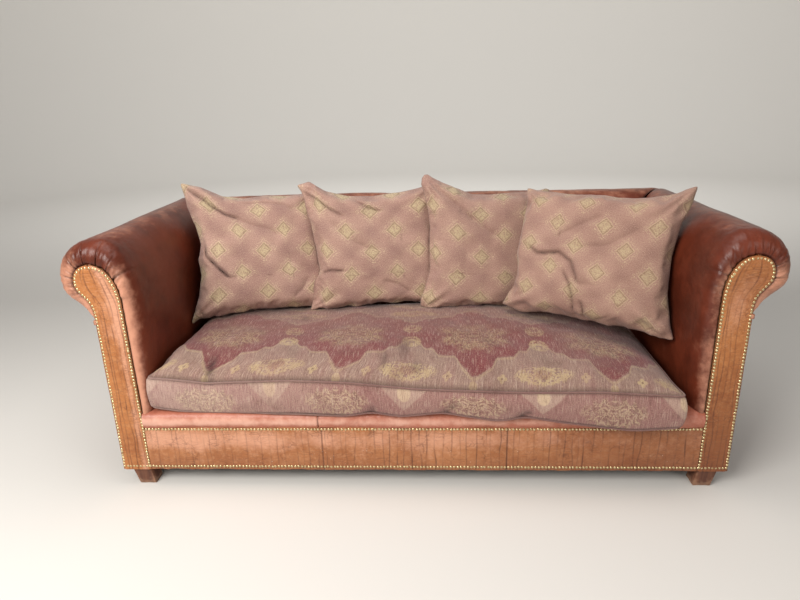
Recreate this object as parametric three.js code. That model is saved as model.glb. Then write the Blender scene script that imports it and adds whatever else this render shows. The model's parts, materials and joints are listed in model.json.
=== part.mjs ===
// A worn three-seat leather sofa with scroll arms: timber frame, zigzag springs, leather upholstery,
// embossed front panels with brass nails, one long seat cushion and four loose back pillows.
// Millimetres. X runs along the sofa, to the right as it is seen from the front, Y from front to back,
// and Z up. Every y below is counted from the front face of the arm facings, and the finished group is
// then moved so that the origin is the middle of its footprint on the floor.
import * as THREE from "three";

// Driving dimensions
const GAP = 0.3; // clearance between pieces that touch
const ROLL_X = 985; // the arm roll's axis, from the middle of the sofa
const ROLL_Y = 840; // the back roll's axis, from the facings
const FLOOR_GAP = 62; // underside of the upholstery above the floor
const FRAME_BASE = 65; // underside of the timber frame
const RAIL_TOP = 236; // top of the seat rails
const DECK_TOP = 275; // top of the seat platform
const HOOK_BOTTOM = 585; // lower edge of the arm and back rolls on the outside
const FACING_IN = 897.5; // inner edge of the facing's leg
const LEG_OUT = 995; // outer face of the arm below the roll
const FACING_T = 8.2; // thickness of the facing and of the front rail panel
const BOARD_Y = [8.5, 36]; // front and rear face of the front boards
const STUMP_INSET = 1.2; // how far the arm stump stays inside the facing's outline
const NAIL_T = 3.5; // height of a nail head
const NAIL_W = 9.5; // width of a nail head
const NAIL_ROW_TOP = 215; // height of the nail row above the rail panel
const NAIL_ROW_BASE = 72; // height of the nail row along the bottom edge
const SEAT_HALF = 896.8; // half the width of the front rail, the lip and the seat platform
const SPRINGS = 10;
const WIRE = 4;

const material = (color, roughness, metalness = 0) =>
  new THREE.MeshStandardMaterial({ color, roughness, metalness });
const SMOOTH_LEATHER = material(0x6f2f1e, 0.42);
const EMBOSSED_LEATHER = material(0xa35a2c, 0.4);
const BRASS = material(0xb59a5a, 0.35, 1);
const BEECH = material(0xc49a6c, 0.7);
const FOOT_WOOD = material(0x5b3a28, 0.65);
const SPRING_STEEL = material(0x5d6064, 0.4, 1);
const HESSIAN = material(0x9a8360, 0.95);
const DUST_CLOTH = material(0x1d1b1a, 0.95);
const TAPESTRY = material(0x8a5f5c, 0.95);
const PILLOW_CLOTH = material(0xa98778, 0.95);

const sofa = new THREE.Group();

function add(name, geometry, finish) {
  const mesh = new THREE.Mesh(geometry, finish);
  mesh.name = name;
  sofa.add(mesh);
  return mesh;
}

// A squared timber or a flat panel between two corners.
function board(name, finish, [x0, x1], [y0, y1], [z0, z1]) {
  const mesh = add(name, new THREE.BoxGeometry(x1 - x0, y1 - y0, z1 - z0), finish);
  mesh.position.set((x0 + x1) / 2, (y0 + y1) / 2, (z0 + z1) / 2);
  return mesh;
}

// The same board on each side of the sofa, named left and right as seen from the front.
function boardPair(name, finish, [x0, x1], yRange, zRange) {
  board(`left_${name}`, finish, [-x1, -x0], yRange, zRange);
  board(`right_${name}`, finish, [x0, x1], yRange, zRange);
}

// A closed surface from triangles of points, with every face turned outwards.
function solidFrom(triangles) {
  const volume = triangles.reduce((sum, [a, b, c]) => sum + a.dot(b.clone().cross(c)), 0);
  const facingOut = volume < 0 ? triangles.map(([a, b, c]) => [a, c, b]) : triangles;
  const positions = facingOut.flatMap((t) => t.flatMap((p) => [p.x, p.y, p.z]));
  const geometry = new THREE.BufferGeometry();
  geometry.setAttribute("position", new THREE.Float32BufferAttribute(positions, 3));
  geometry.computeVertexNormals();
  return geometry;
}

// A solid through rings of points: the first and last ring are capped. `outline` is the flat ring that
// tells how the caps are cut into triangles.
function loft(rings, outline) {
  const count = outline.length;
  const clockwise = THREE.ShapeUtils.isClockWise(outline);
  const caps = THREE.ShapeUtils.triangulateShape(outline, []);
  const triangles = [];
  for (let r = 0; r + 1 < rings.length; r++)
    for (let i = 0; i < count; i++) {
      const j = (i + 1) % count;
      const [a, b, c, d] = [rings[r][i], rings[r][j], rings[r + 1][j], rings[r + 1][i]];
      triangles.push([a, b, c], [a, c, d]);
    }
  const first = rings[0];
  const last = rings[rings.length - 1];
  for (const cap of caps) {
    const [a, b, c] = clockwise ? cap.slice().reverse() : cap;
    triangles.push([first[c], first[b], first[a]]);
    triangles.push([last[a], last[b], last[c]]);
  }
  return solidFrom(triangles);
}

// A flat outline in X and Z, given thickness along Y.
function plateXZ(points, [y0, y1]) {
  const shape = new THREE.Shape(points);
  const geometry = new THREE.ExtrudeGeometry(shape, { depth: y1 - y0, bevelEnabled: false });
  return geometry.rotateX(Math.PI / 2).translate(0, y1, 0);
}

// A flat outline in Y and Z, run along X.
function runX(points, [x0, x1]) {
  const shape = new THREE.Shape(points);
  const geometry = new THREE.ExtrudeGeometry(shape, { depth: x1 - x0, bevelEnabled: false });
  const axes = new THREE.Matrix4().makeBasis(
    new THREE.Vector3(0, 1, 0),
    new THREE.Vector3(0, 0, 1),
    new THREE.Vector3(1, 0, 0),
  );
  return geometry.applyMatrix4(axes).translate(x0, 0, 0);
}

const mirrored = (points) => points.map((p) => new THREE.Vector2(-p.x, p.y));

// An open line of points moved sideways by `distance`, to the right of its direction of travel.
function offsetLine(points, distance) {
  return points.map((p, i) => {
    const before = points[Math.max(0, i - 1)];
    const after = points[Math.min(points.length - 1, i + 1)];
    const along = after.clone().sub(before).normalize();
    return new THREE.Vector2(p.x + along.y * distance, p.y - along.x * distance);
  });
}

// The facing's keyhole outline on the right arm, from its inner foot up, over the scroll and down outside.
function keyhole(base) {
  const path = new THREE.Path();
  path.moveTo(FACING_IN, base);
  path.lineTo(FACING_IN, 648);
  path.bezierCurveTo(FACING_IN, 720, 926, 774, 980, 775);
  path.bezierCurveTo(1014, 775, 1035, 752, 1035, 720);
  path.bezierCurveTo(1035, 676, 990.5, 678, 990.5, 612);
  path.lineTo(LEG_OUT - 1, base);
  return path.getPoints(7);
}

// The padded roll's section, shared by the arms and the back. `u` is counted outwards from the roll's
// axis. The outer line is the leather, and the inner line the hollow for the timbers.
const SECTION_STEPS = 8;
function rollSection() {
  const outer = new THREE.Path();
  outer.moveTo(-122, DECK_TOP + 1);
  outer.bezierCurveTo(-136, 380, -137, 560, -133, 650);
  outer.bezierCurveTo(-129, 760, -85, 845, -18, 846);
  outer.bezierCurveTo(60, 847, 108, 790, 108, 725);
  outer.bezierCurveTo(108, 660, 62, 640, 40, 620);
  outer.bezierCurveTo(28, 606, 17, 598, 13, HOOK_BOTTOM);
  const inner = new THREE.Path();
  inner.moveTo(-87.5, DECK_TOP + 1);
  inner.bezierCurveTo(-87.5, 400, -87.5, 530, -87.5, 648);
  inner.bezierCurveTo(-87.5, 720, -59, 774, -5, 775);
  inner.bezierCurveTo(29, 775, 50, 752, 50, 720);
  inner.bezierCurveTo(50, 676, 5.5, 678, 5.5, 612);
  inner.bezierCurveTo(5.5, 604, 5.5, 594, 5.5, HOOK_BOTTOM);
  return [outer.getPoints(SECTION_STEPS), inner.getPoints(SECTION_STEPS)];
}

// The section as one closed ring, with the leather drawn in towards the hollow by `fullness`.
function sectionRing(fullness = 1) {
  const [outer, inner] = rollSection();
  const drawn = outer.map((p, i) => inner[i].clone().lerp(p, fullness));
  return [...drawn, ...inner.slice().reverse()];
}

// ---- Timber frame ----
board("front_rail", BEECH, [-SEAT_HALF, SEAT_HALF], BOARD_Y, [FRAME_BASE, RAIL_TOP]);
board("back_rail", BEECH, [-914.5, 914.5], [800, 828], [FRAME_BASE, RAIL_TOP]);
boardPair("side_rail", BEECH, [950, 978], [36.5, 769.5], [FRAME_BASE, 205]);
boardPair("back_post", BEECH, [915, 975], [770, 832], [FRAME_BASE, 694.5]);
boardPair("arm_tack_rail", BEECH, [908, 933], [36.5, 761.5], [280, 320]);
boardPair("arm_top_rail", BEECH, [945, 1005], [36.5, 858], [695, 750]);
board("back_top_rail", BEECH, [-944.5, 944.5], [800, 858], [695, 750]);
board("back_tack_rail", BEECH, [-914.5, 914.5], [762, 787], [280, 320]);
boardPair("back_upright", BEECH, [330, 374], [800, 828], [RAIL_TOP + GAP, 694.5]);
boardPair("seat_bearer", BEECH, [285, 315], [36.5, 799.5], [FRAME_BASE, 105]);

// The arm stumps are cut to the facing's outline.
const stump = [
  new THREE.Vector2(FACING_IN + STUMP_INSET, FRAME_BASE),
  ...offsetLine(keyhole(FRAME_BASE), STUMP_INSET).slice(1, -1),
  new THREE.Vector2(LEG_OUT - 6, FRAME_BASE),
];
add("left_scroll_board", plateXZ(mirrored(stump), BOARD_Y), BEECH);
add("right_scroll_board", plateXZ(stump, BOARD_Y), BEECH);

// Glued and screwed corner blocks, three-sided, inside the seat frame.
function cornerBlock(name, [x, y], [legX, legY]) {
  const corner = [
    new THREE.Vector2(x, y),
    new THREE.Vector2(x + legX, y),
    new THREE.Vector2(x, y + legY),
  ];
  const geometry = new THREE.ExtrudeGeometry(new THREE.Shape(corner), {
    depth: 65,
    bevelEnabled: false,
  });
  add(name, geometry.translate(0, 0, FRAME_BASE), BEECH);
}
cornerBlock("front_left_corner_block", [-949.5, 36.5], [80, 80]);
cornerBlock("front_right_corner_block", [949.5, 36.5], [-80, 80]);
cornerBlock("back_left_corner_block", [-949.5, 769.5], [80, -80]);
cornerBlock("back_right_corner_block", [949.5, 769.5], [-80, -80]);

// ---- Feet: square blocks that taper and lean a little inwards ----
function foot(name, side, y) {
  const top = { x: [905, 967], y: [y, y + 62] };
  const sole = { x: [895, 951], y: [y + 3, y + 59] };
  const corners = ({ x, y: depth }) => [
    new THREE.Vector2(side * x[0], depth[0]),
    new THREE.Vector2(side * x[1], depth[0]),
    new THREE.Vector2(side * x[1], depth[1]),
    new THREE.Vector2(side * x[0], depth[1]),
  ];
  const ring = (square, z) => corners(square).map((p) => new THREE.Vector3(p.x, p.y, z));
  const rings = [ring(sole, 0), ring(top, FLOOR_GAP - GAP)];
  add(name, loft(rings, corners(sole)), FOOT_WOOD);
}
foot("front_left_foot", -1, 5);
foot("front_right_foot", 1, 5);
foot("back_left_foot", -1, 771);
foot("back_right_foot", 1, 771);

// ---- Zigzag springs from the front rail to the back rail ----
function spring(name, x) {
  const turns = 22;
  const [start, end] = [16, 822];
  const reach = 22; // half the width of the zigzag
  const step = (end - start) / turns;
  const line = [];
  for (let i = 0; i <= turns; i++) {
    const side = i % 2 ? 1 : -1;
    line.push(new THREE.Vector2(x + side * reach, start + i * step));
    if (i < turns) line.push(new THREE.Vector2(x + side * reach, start + (i + 0.55) * step));
  }
  const outline = [...offsetLine(line, WIRE / 2), ...offsetLine(line, -WIRE / 2).reverse()];
  const geometry = new THREE.ExtrudeGeometry(new THREE.Shape(outline), {
    depth: WIRE,
    bevelEnabled: false,
  });
  add(name, geometry.translate(0, 0, RAIL_TOP + GAP), SPRING_STEEL);
}
const springPitch = 176;
for (let i = 0; i < SPRINGS; i++)
  spring(`seat_spring_${String(i + 1).padStart(2, "0")}`, (i - (SPRINGS - 1) / 2) * springPitch);

// ---- Seat platform over the springs ----
const hessianBase = RAIL_TOP + WIRE + 2 * GAP + 0.4;
board("spring_hessian", HESSIAN, [2 - SEAT_HALF, SEAT_HALF - 2], [9, 799.5], [hessianBase, hessianBase + 2]);
const padBase = hessianBase + 2 + GAP;
board("seat_platform", SMOOTH_LEATHER, [-SEAT_HALF, SEAT_HALF], [90, 757.5], [padBase, DECK_TOP]);
board("dust_cover", DUST_CLOTH, [-989, 989], [10, 838], [FLOOR_GAP, FRAME_BASE - 0.5]);

// The padded leather lip along the front of the platform, above the nailed panel.
const lipBase = NAIL_ROW_TOP + 7.5;
const lip = new THREE.Path();
lip.moveTo(0.5, lipBase);
lip.bezierCurveTo(-9, 236, -10, 274, 24, DECK_TOP - GAP);
lip.lineTo(89.7, DECK_TOP - GAP);
lip.lineTo(89.7, padBase);
lip.lineTo(8.2, padBase);
lip.lineTo(8.2, lipBase);
add("front_lip", runX(lip.getPoints(8), [-SEAT_HALF, SEAT_HALF]), SMOOTH_LEATHER);

// ---- Embossed leather panels on the front ----
const panelHeight = [FLOOR_GAP, NAIL_ROW_TOP + 7];
board("front_rail_panel", EMBOSSED_LEATHER, [-SEAT_HALF, SEAT_HALF], [GAP, FACING_T], panelHeight);
const facing = keyhole(FLOOR_GAP);
add("left_facing", plateXZ(mirrored(facing), [0, FACING_T]), EMBOSSED_LEATHER);
add("right_facing", plateXZ(facing, [0, FACING_T]), EMBOSSED_LEATHER);

// ---- Rows of close-set brass nails, each row joined in one strip ----
const nailY = [-GAP - NAIL_T, -GAP];
const nailBand = (z) => [z - NAIL_W / 2, z + NAIL_W / 2];
board("rail_top_nails", BRASS, [-894, 894], nailY, nailBand(NAIL_ROW_TOP));
board("bottom_nails", BRASS, [-991, 991], nailY, nailBand(NAIL_ROW_BASE));
const nailLine = keyhole(NAIL_ROW_BASE + NAIL_W);
const nailStrip = [...offsetLine(nailLine, 1), ...offsetLine(nailLine, 1 + NAIL_W).reverse()];
add("left_facing_nails", plateXZ(mirrored(nailStrip), nailY), BRASS);
add("right_facing_nails", plateXZ(nailStrip, nailY), BRASS);

// ---- Padded leather covers of the arms and the back, mitred where they meet ----
function armCover(name, side) {
  const frontEdge = BOARD_Y[0];
  const rounding = [
    [frontEdge, 0.42],
    [frontEdge + 6, 0.74],
    [frontEdge + 18, 0.92],
    [frontEdge + 42, 1],
  ];
  const ring = (y, fullness) =>
    sectionRing(fullness).map((p) => new THREE.Vector3(side * (ROLL_X + p.x), y, p.y));
  const mitre = sectionRing().map(
    (p) => new THREE.Vector3(side * (ROLL_X + p.x), ROLL_Y + p.x - GAP, p.y),
  );
  const rings = [...rounding.map(([y, fullness]) => ring(y, fullness)), mitre];
  add(name, loft(rings, sectionRing()), SMOOTH_LEATHER);
}
armCover("left_arm_cover", -1);
armCover("right_arm_cover", 1);

const backEnd = (side) =>
  sectionRing().map((p) => new THREE.Vector3(side * (ROLL_X + p.x - GAP), ROLL_Y + p.x, p.y));
add("inside_back_cover", loft([backEnd(-1), backEnd(1)], sectionRing()), SMOOTH_LEATHER);

const outsideHeight = [FLOOR_GAP, HOOK_BOTTOM - GAP];
boardPair("outside_arm_panel", SMOOTH_LEATHER, [LEG_OUT - 4.8, LEG_OUT], [8.5, 850], outsideHeight);
board("outside_back_panel", SMOOTH_LEATHER, [-989.9, 989.9], [845.2, 850], outsideHeight);

// ---- Soft goods ----
// A pad between two surfaces over the unit square, closed round its edge. The front surface is seen
// with `u` running to the right and `v` upwards.
function pad(steps, front, back) {
  const [nu, nv] = steps;
  const grid = (surface) =>
    Array.from({ length: nu + 1 }, (_, i) =>
      Array.from({ length: nv + 1 }, (_, j) => surface(i / nu, j / nv)),
    );
  const [f, b] = [grid(front), grid(back)];
  const triangles = [];
  for (let i = 0; i < nu; i++)
    for (let j = 0; j < nv; j++) {
      triangles.push([f[i][j], f[i + 1][j], f[i + 1][j + 1]], [f[i][j], f[i + 1][j + 1], f[i][j + 1]]);
      triangles.push([b[i][j], b[i + 1][j + 1], b[i + 1][j]], [b[i][j], b[i][j + 1], b[i + 1][j + 1]]);
    }
  const wall = (a0, a1, b0, b1) => triangles.push([a0, b0, b1], [a0, b1, a1]);
  for (let i = 0; i < nu; i++) {
    wall(f[i][0], f[i + 1][0], b[i][0], b[i + 1][0]);
    wall(f[i + 1][nv], f[i][nv], b[i + 1][nv], b[i][nv]);
  }
  for (let j = 0; j < nv; j++) {
    wall(f[nu][j], f[nu][j + 1], b[nu][j], b[nu][j + 1]);
    wall(f[0][j + 1], f[0][j], b[0][j + 1], b[0][j]);
  }
  return solidFrom(triangles);
}

const smooth = (t) => t * t * (3 - 2 * t);
const dome = (u, v) => (1 - (2 * u - 1) ** 4) * (1 - (2 * v - 1) ** 4);
const blend = (a, b, t) => a + (b - a) * t;

// The long feather cushion has slipped forward at its right end, where it hangs over the lip.
const CUSHION = {
  frontLeft: [-846, 4],
  frontRight: [806, -50],
  backLeft: [-844, 692],
  backRight: [814, 690],
  border: 110,
  crown: 72,
  droop: 34,
};
function cushionPlan(u, v) {
  const run = v < 0.2 ? v * 0.35 : blend(0.07, 1, (v - 0.2) / 0.8);
  const at = (k) =>
    blend(
      blend(CUSHION.frontLeft[k], CUSHION.frontRight[k], u),
      blend(CUSHION.backLeft[k], CUSHION.backRight[k], u),
      run,
    );
  return [at(0), at(1)];
}
function cushionBase(u, v) {
  const [x, y] = cushionPlan(u, v);
  const hang = v === 0 ? CUSHION.droop * smooth(u) : 0;
  return new THREE.Vector3(x, y, DECK_TOP + GAP - hang);
}
function cushionTop(u, v) {
  const base = cushionBase(u, v);
  base.z += CUSHION.border + CUSHION.crown * Math.sqrt(dome(u, v));
  return base;
}
add("seat_cushion", pad([12, 10], cushionTop, cushionBase), TAPESTRY);

// A square pillow by its four corners as seen from the front. Its sides draw in between the corners.
function pillow(name, corners, depth) {
  const [bottomLeft, bottomRight, topRight, topLeft] = corners.map((c) => new THREE.Vector3(...c));
  const width = bottomRight.clone().sub(bottomLeft);
  const height = topLeft.clone().sub(bottomLeft);
  const out = width.clone().cross(height).normalize();
  const drawIn = 0.035;
  const middle = (u, v) => {
    const a = u + drawIn * Math.sin(Math.PI * v) * (1 - 2 * u);
    const b = v + drawIn * Math.sin(Math.PI * u) * (1 - 2 * v);
    const low = bottomLeft.clone().lerp(bottomRight, a);
    const high = topLeft.clone().lerp(topRight, a);
    return low.lerp(high, b);
  };
  const half = (u, v) => 5 + (depth / 2 - 5) * Math.sqrt(dome(u, v));
  const front = (u, v) => middle(u, v).addScaledVector(out, half(u, v));
  const back = (u, v) => middle(u, v).addScaledVector(out, -half(u, v));
  add(name, pad([6, 6], front, back), PILLOW_CLOTH);
}
pillow(
  "back_pillow_1",
  [
    [-826, 392, 446],
    [-356, 590, 446],
    [-392, 684, 890],
    [-878, 560, 934],
  ],
  112,
);
pillow(
  "back_pillow_2",
  [
    [-416, 500, 458],
    [80, 594, 452],
    [70, 680, 900],
    [-446, 580, 914],
  ],
  104,
);
pillow(
  "back_pillow_3",
  [
    [20, 500, 460],
    [500, 590, 454],
    [496, 684, 866],
    [30, 580, 940],
  ],
  104,
);
pillow(
  "back_pillow_4",
  [
    [330, 440, 474],
    [826, 176, 452],
    [896, 300, 920],
    [418, 548, 884],
  ],
  116,
);

// Origin: the middle of the sofa's footprint, on the floor.
const extent = new THREE.Box3().setFromObject(sofa, true);
const middle = extent.getCenter(new THREE.Vector3());
sofa.position.set(-middle.x, -middle.y, -extent.min.z);

export default sofa;
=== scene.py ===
# %% [markdown]
# # A worn leather sofa
# This lesson dresses a imported CAD sofa: an old scroll-arm sofa with a tapestry seat cushion and four
# loose pillows. The CAD model gives every size and place. Here each visible piece gets its softness,
# its seams and its wear. The first cell loads the CAD model, where it stays fixed.

import json
import math

import bpy
import numpy as np
from mathutils import Matrix, Vector
from mathutils.bvhtree import BVHTree


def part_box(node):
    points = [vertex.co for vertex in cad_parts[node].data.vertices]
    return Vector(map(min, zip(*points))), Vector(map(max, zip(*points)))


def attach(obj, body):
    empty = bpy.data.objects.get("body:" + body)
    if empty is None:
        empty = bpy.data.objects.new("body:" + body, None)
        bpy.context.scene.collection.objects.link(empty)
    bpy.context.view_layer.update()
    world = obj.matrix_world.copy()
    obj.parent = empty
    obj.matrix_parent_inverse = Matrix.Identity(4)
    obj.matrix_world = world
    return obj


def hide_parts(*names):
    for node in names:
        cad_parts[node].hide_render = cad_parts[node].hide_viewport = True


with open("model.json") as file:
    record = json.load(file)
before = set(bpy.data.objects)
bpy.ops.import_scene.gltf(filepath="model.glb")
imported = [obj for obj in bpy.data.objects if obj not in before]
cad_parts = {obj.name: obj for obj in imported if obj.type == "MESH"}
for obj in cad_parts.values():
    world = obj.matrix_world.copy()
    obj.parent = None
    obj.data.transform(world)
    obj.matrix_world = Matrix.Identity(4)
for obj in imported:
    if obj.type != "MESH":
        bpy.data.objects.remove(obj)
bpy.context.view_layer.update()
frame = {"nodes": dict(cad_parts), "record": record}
scene = bpy.context.scene

# %% [markdown]
# ## The camera
# The sofa is looked at from chest height, a little right of its middle, with a wide lens and a
# slight tilt. A camera looks along its own -Z, so it is turned up from the floor about X, then
# turned about Z, and last rolled about its own axis. The front of the arm facings is the plane that
# all the front pieces are placed from, so its depth is read from the CAD first.

# %% Camera
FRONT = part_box("left_facing")[0].y
camera_data = bpy.data.cameras.new("studio_camera")
camera_data.lens = 27.146
camera_data.sensor_width = 36.0
camera = bpy.data.objects.new("studio_camera", camera_data)
scene.collection.objects.link(camera)
EYE_RIGHT, EYE_BEFORE_FRONT, EYE_HEIGHT = 0.0557, 1.703, 1.2348
TURNED_LEFT, LOOKING_DOWN, ROLLED = 3.272, 18.783, -1.698
camera.matrix_world = (
    Matrix.Translation((EYE_RIGHT, FRONT - EYE_BEFORE_FRONT, EYE_HEIGHT))
    @ Matrix.Rotation(math.radians(TURNED_LEFT), 4, "Z")
    @ Matrix.Rotation(math.radians(90 - LOOKING_DOWN), 4, "X")
    @ Matrix.Rotation(math.radians(ROLLED), 4, "Z")
)
scene.camera = camera
print("front plane", round(FRONT, 4))

# %% [markdown]
# ## Helpers for shaping
# Most upholstery starts as a flat hide or cloth that is pulled over a form. So most pieces here
# start as a flat grid, and each point of the grid is then moved to its place on the form. The grid
# keeps two numbers for each point: how far across and how far along the hide it is, from 0 to 1.

# %% Shaping helpers
def select_only(piece):
    bpy.ops.object.select_all(action="DESELECT")
    piece.select_set(True)
    bpy.context.view_layer.objects.active = piece


def flat_hide(name, columns, rows):
    """A flat grid, with the place of every point across and along it."""
    bpy.ops.object.select_all(action="DESELECT")
    bpy.ops.mesh.primitive_grid_add(x_subdivisions=columns, y_subdivisions=rows, size=1.0)
    piece = bpy.context.object
    piece.name = name
    piece.data.name = name
    points = points_of(piece)
    return piece, points[:, 0] + 0.5, points[:, 1] + 0.5


def points_of(piece, kind="co"):
    flat = np.zeros(len(piece.data.vertices) * 3, np.float32)
    piece.data.vertices.foreach_get(kind, flat)
    return flat.reshape(-1, 3).astype(float)


def normals_of(piece):
    return points_of(piece, "normal")


def put_points(piece, points):
    piece.data.vertices.foreach_set("co", np.asarray(points, np.float32).ravel())
    piece.data.update()


def raise_by(piece, height):
    """Moves every point out along its normal."""
    put_points(piece, points_of(piece) + normals_of(piece) * height[:, None])


print("grid helpers ready")

# %% [markdown]
# ## The UV map and numbers at the points
# A UV map in metres lets a grain or a weave follow the hide. Blender keeps it at the corners of the
# faces. A number kept at every point, such as where the leather is worn and where a highlight is
# painted on it, is an attribute, and a finish reads it by its name.

# %% UV map and numbers
def corners_of(piece):
    """Which point each corner of each face is at."""
    corner = np.zeros(len(piece.data.loops), np.int32)
    piece.data.loops.foreach_get("vertex_index", corner)
    return corner


def write_uv(piece, across, along):
    """Writes the UV map in metres from a value at every corner."""
    mesh = piece.data
    layer = mesh.uv_layers.active or mesh.uv_layers.new(name="cut")
    layer.name = "cut"
    layer.data.foreach_set("uv", np.stack([across, along], 1).astype(np.float32).ravel())


def put_uv(piece, across, along):
    """Writes the UV map in metres from a value at every point."""
    corner = corners_of(piece)
    write_uv(piece, across[corner], along[corner])


def put_value(piece, name, value):
    """Keeps one number at every point, which a finish can read by its name."""
    attribute = piece.data.attributes.new(name, "FLOAT", "POINT")
    attribute.data.foreach_set("value", np.clip(value, 0, 1).astype(np.float32))


def take_value(piece, name):
    """Reads a number back from every point and removes it from the piece."""
    attribute = piece.data.attributes[name]
    numbers = np.zeros(len(piece.data.vertices), np.float32)
    attribute.data.foreach_get("value", numbers)
    piece.data.attributes.remove(attribute)
    return numbers.astype(float)


print("UV and number helpers ready")

# %% [markdown]
# ## Modifiers, edit mode and placing
# A modifier is applied at once, so that a piece's mesh is always what is seen. An operator in edit
# mode acts on all that is selected, so the piece is selected by itself first. The last helper gives a
# piece its finish and its body, and hides the CAD nodes that it stands for.

# %% Modifiers and placing
def finish_modifier(piece, kind, **settings):
    """Adds a modifier, sets it, and applies it."""
    select_only(piece)
    modifier = piece.modifiers.new(kind.lower(), kind)
    for key, value in settings.items():
        setattr(modifier, key, value)
    bpy.ops.object.modifier_apply(modifier=modifier.name)


def shade_soft(piece, degrees=60):
    select_only(piece)
    bpy.ops.object.shade_smooth_by_angle(angle=math.radians(degrees))


def thicken(piece, thickness, degrees):
    """Gives a hide its thickness on the inner side, and shades it softly."""
    finish_modifier(piece, "SOLIDIFY", thickness=thickness, offset=-1.0, use_rim=True)
    shade_soft(piece, degrees)


def on_all_faces(piece, operator, **settings):
    """Runs one edit-mode operator on the whole of a piece."""
    select_only(piece)
    bpy.ops.object.mode_set(mode="EDIT")
    bpy.ops.mesh.select_all(action="SELECT")
    operator(**settings)
    bpy.ops.object.mode_set(mode="OBJECT")


def new_cube(name):
    bpy.ops.object.select_all(action="DESELECT")
    bpy.ops.mesh.primitive_cube_add(size=1.0)
    piece = bpy.context.object
    piece.name = name
    return piece


def place_piece(piece, finish, slot, *nodes):
    """The last call for a piece: its finish, its body and the CAD nodes that it stands for, which it hides.
    The slot is not used.
    """
    wanted = np.zeros(len(piece.data.polygons), np.int32)
    piece.data.polygons.foreach_get("material_index", wanted)
    piece.data.materials.clear()
    for one in finish if isinstance(finish, list) else [finish]:
        piece.data.materials.append(one)
    piece.data.polygons.foreach_set("material_index", wanted)
    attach(piece, "root")
    if nodes:
        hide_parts(*nodes)
    print(piece.name, len(piece.data.polygons), "faces")


print("placing helpers ready")

# %% [markdown]
# ## Helpers for curves and unevenness
# A section of padding is a chain of Bezier curves. Old upholstery is uneven, and that unevenness has
# to be the same each time the lesson runs, so it comes from a noise of our own: random heights at
# the corners of a square net, joined smoothly.

# %% Curve and noise helpers
def ease(t):
    t = np.clip(t, 0, 1)
    return t * t * (3 - 2 * t)


def from_edge(share):
    """How far a share from 0 to 1 is from the nearer end."""
    return np.minimum(share, 1 - share)


def bump(distance, width):
    """1 at distance 0, falling smoothly to almost 0 at about twice the width."""
    return np.exp(-((distance / width) ** 2))


def chain(controls, at):
    """Points of a chain of cubic Beziers at the numbers `at`: 0 to 1 is the first curve, and so on."""
    controls = np.asarray(controls, float)
    last = (len(controls) - 1) // 3
    index = np.clip(np.floor(at).astype(int), 0, last - 1)
    t = (at - index)[:, None]
    a, b, c, d = (controls[index * 3 + k] for k in range(4))
    return a * (1 - t) ** 3 + 3 * b * t * (1 - t) ** 2 + 3 * c * t**2 * (1 - t) + d * t**3


def net_height(ix, iy, seed):
    mixed = np.sin(ix * 127.1 + iy * 311.7 + seed * 74.7) * 43758.5453
    return mixed - np.floor(mixed)


def unevenness(x, y, cell, seed, layers=1):
    """Smooth noise from -1 to 1 over x and y, with features about `cell` metres wide."""
    total = np.zeros_like(x)
    weight = 0.0
    for k in range(layers):
        u, v = x / cell * 2**k, y / cell * 2**k
        iu, iv = np.floor(u), np.floor(v)
        fu, fv = ease(u - iu), ease(v - iv)
        low = net_height(iu, iv, seed + k) * (1 - fu) + net_height(iu + 1, iv, seed + k) * fu
        high = net_height(iu, iv + 1, seed + k) * (1 - fu) + net_height(iu + 1, iv + 1, seed + k) * fu
        total += (low * (1 - fv) + high * fv - 0.5) * 2 / 2**k
        weight += 1 / 2**k
    return total / weight


print("noise sample", np.round(unevenness(np.array([0.1, 0.2]), np.array([0.3, 0.4]), 0.05, 1), 3))

# %% [markdown]
# ## Helpers for finishes
# A finish is a network of nodes. A small recorder keeps the calls short: it adds a node, joins its
# inputs, and hands back its output. Colours that are the same all over are set on the shader itself.

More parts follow.
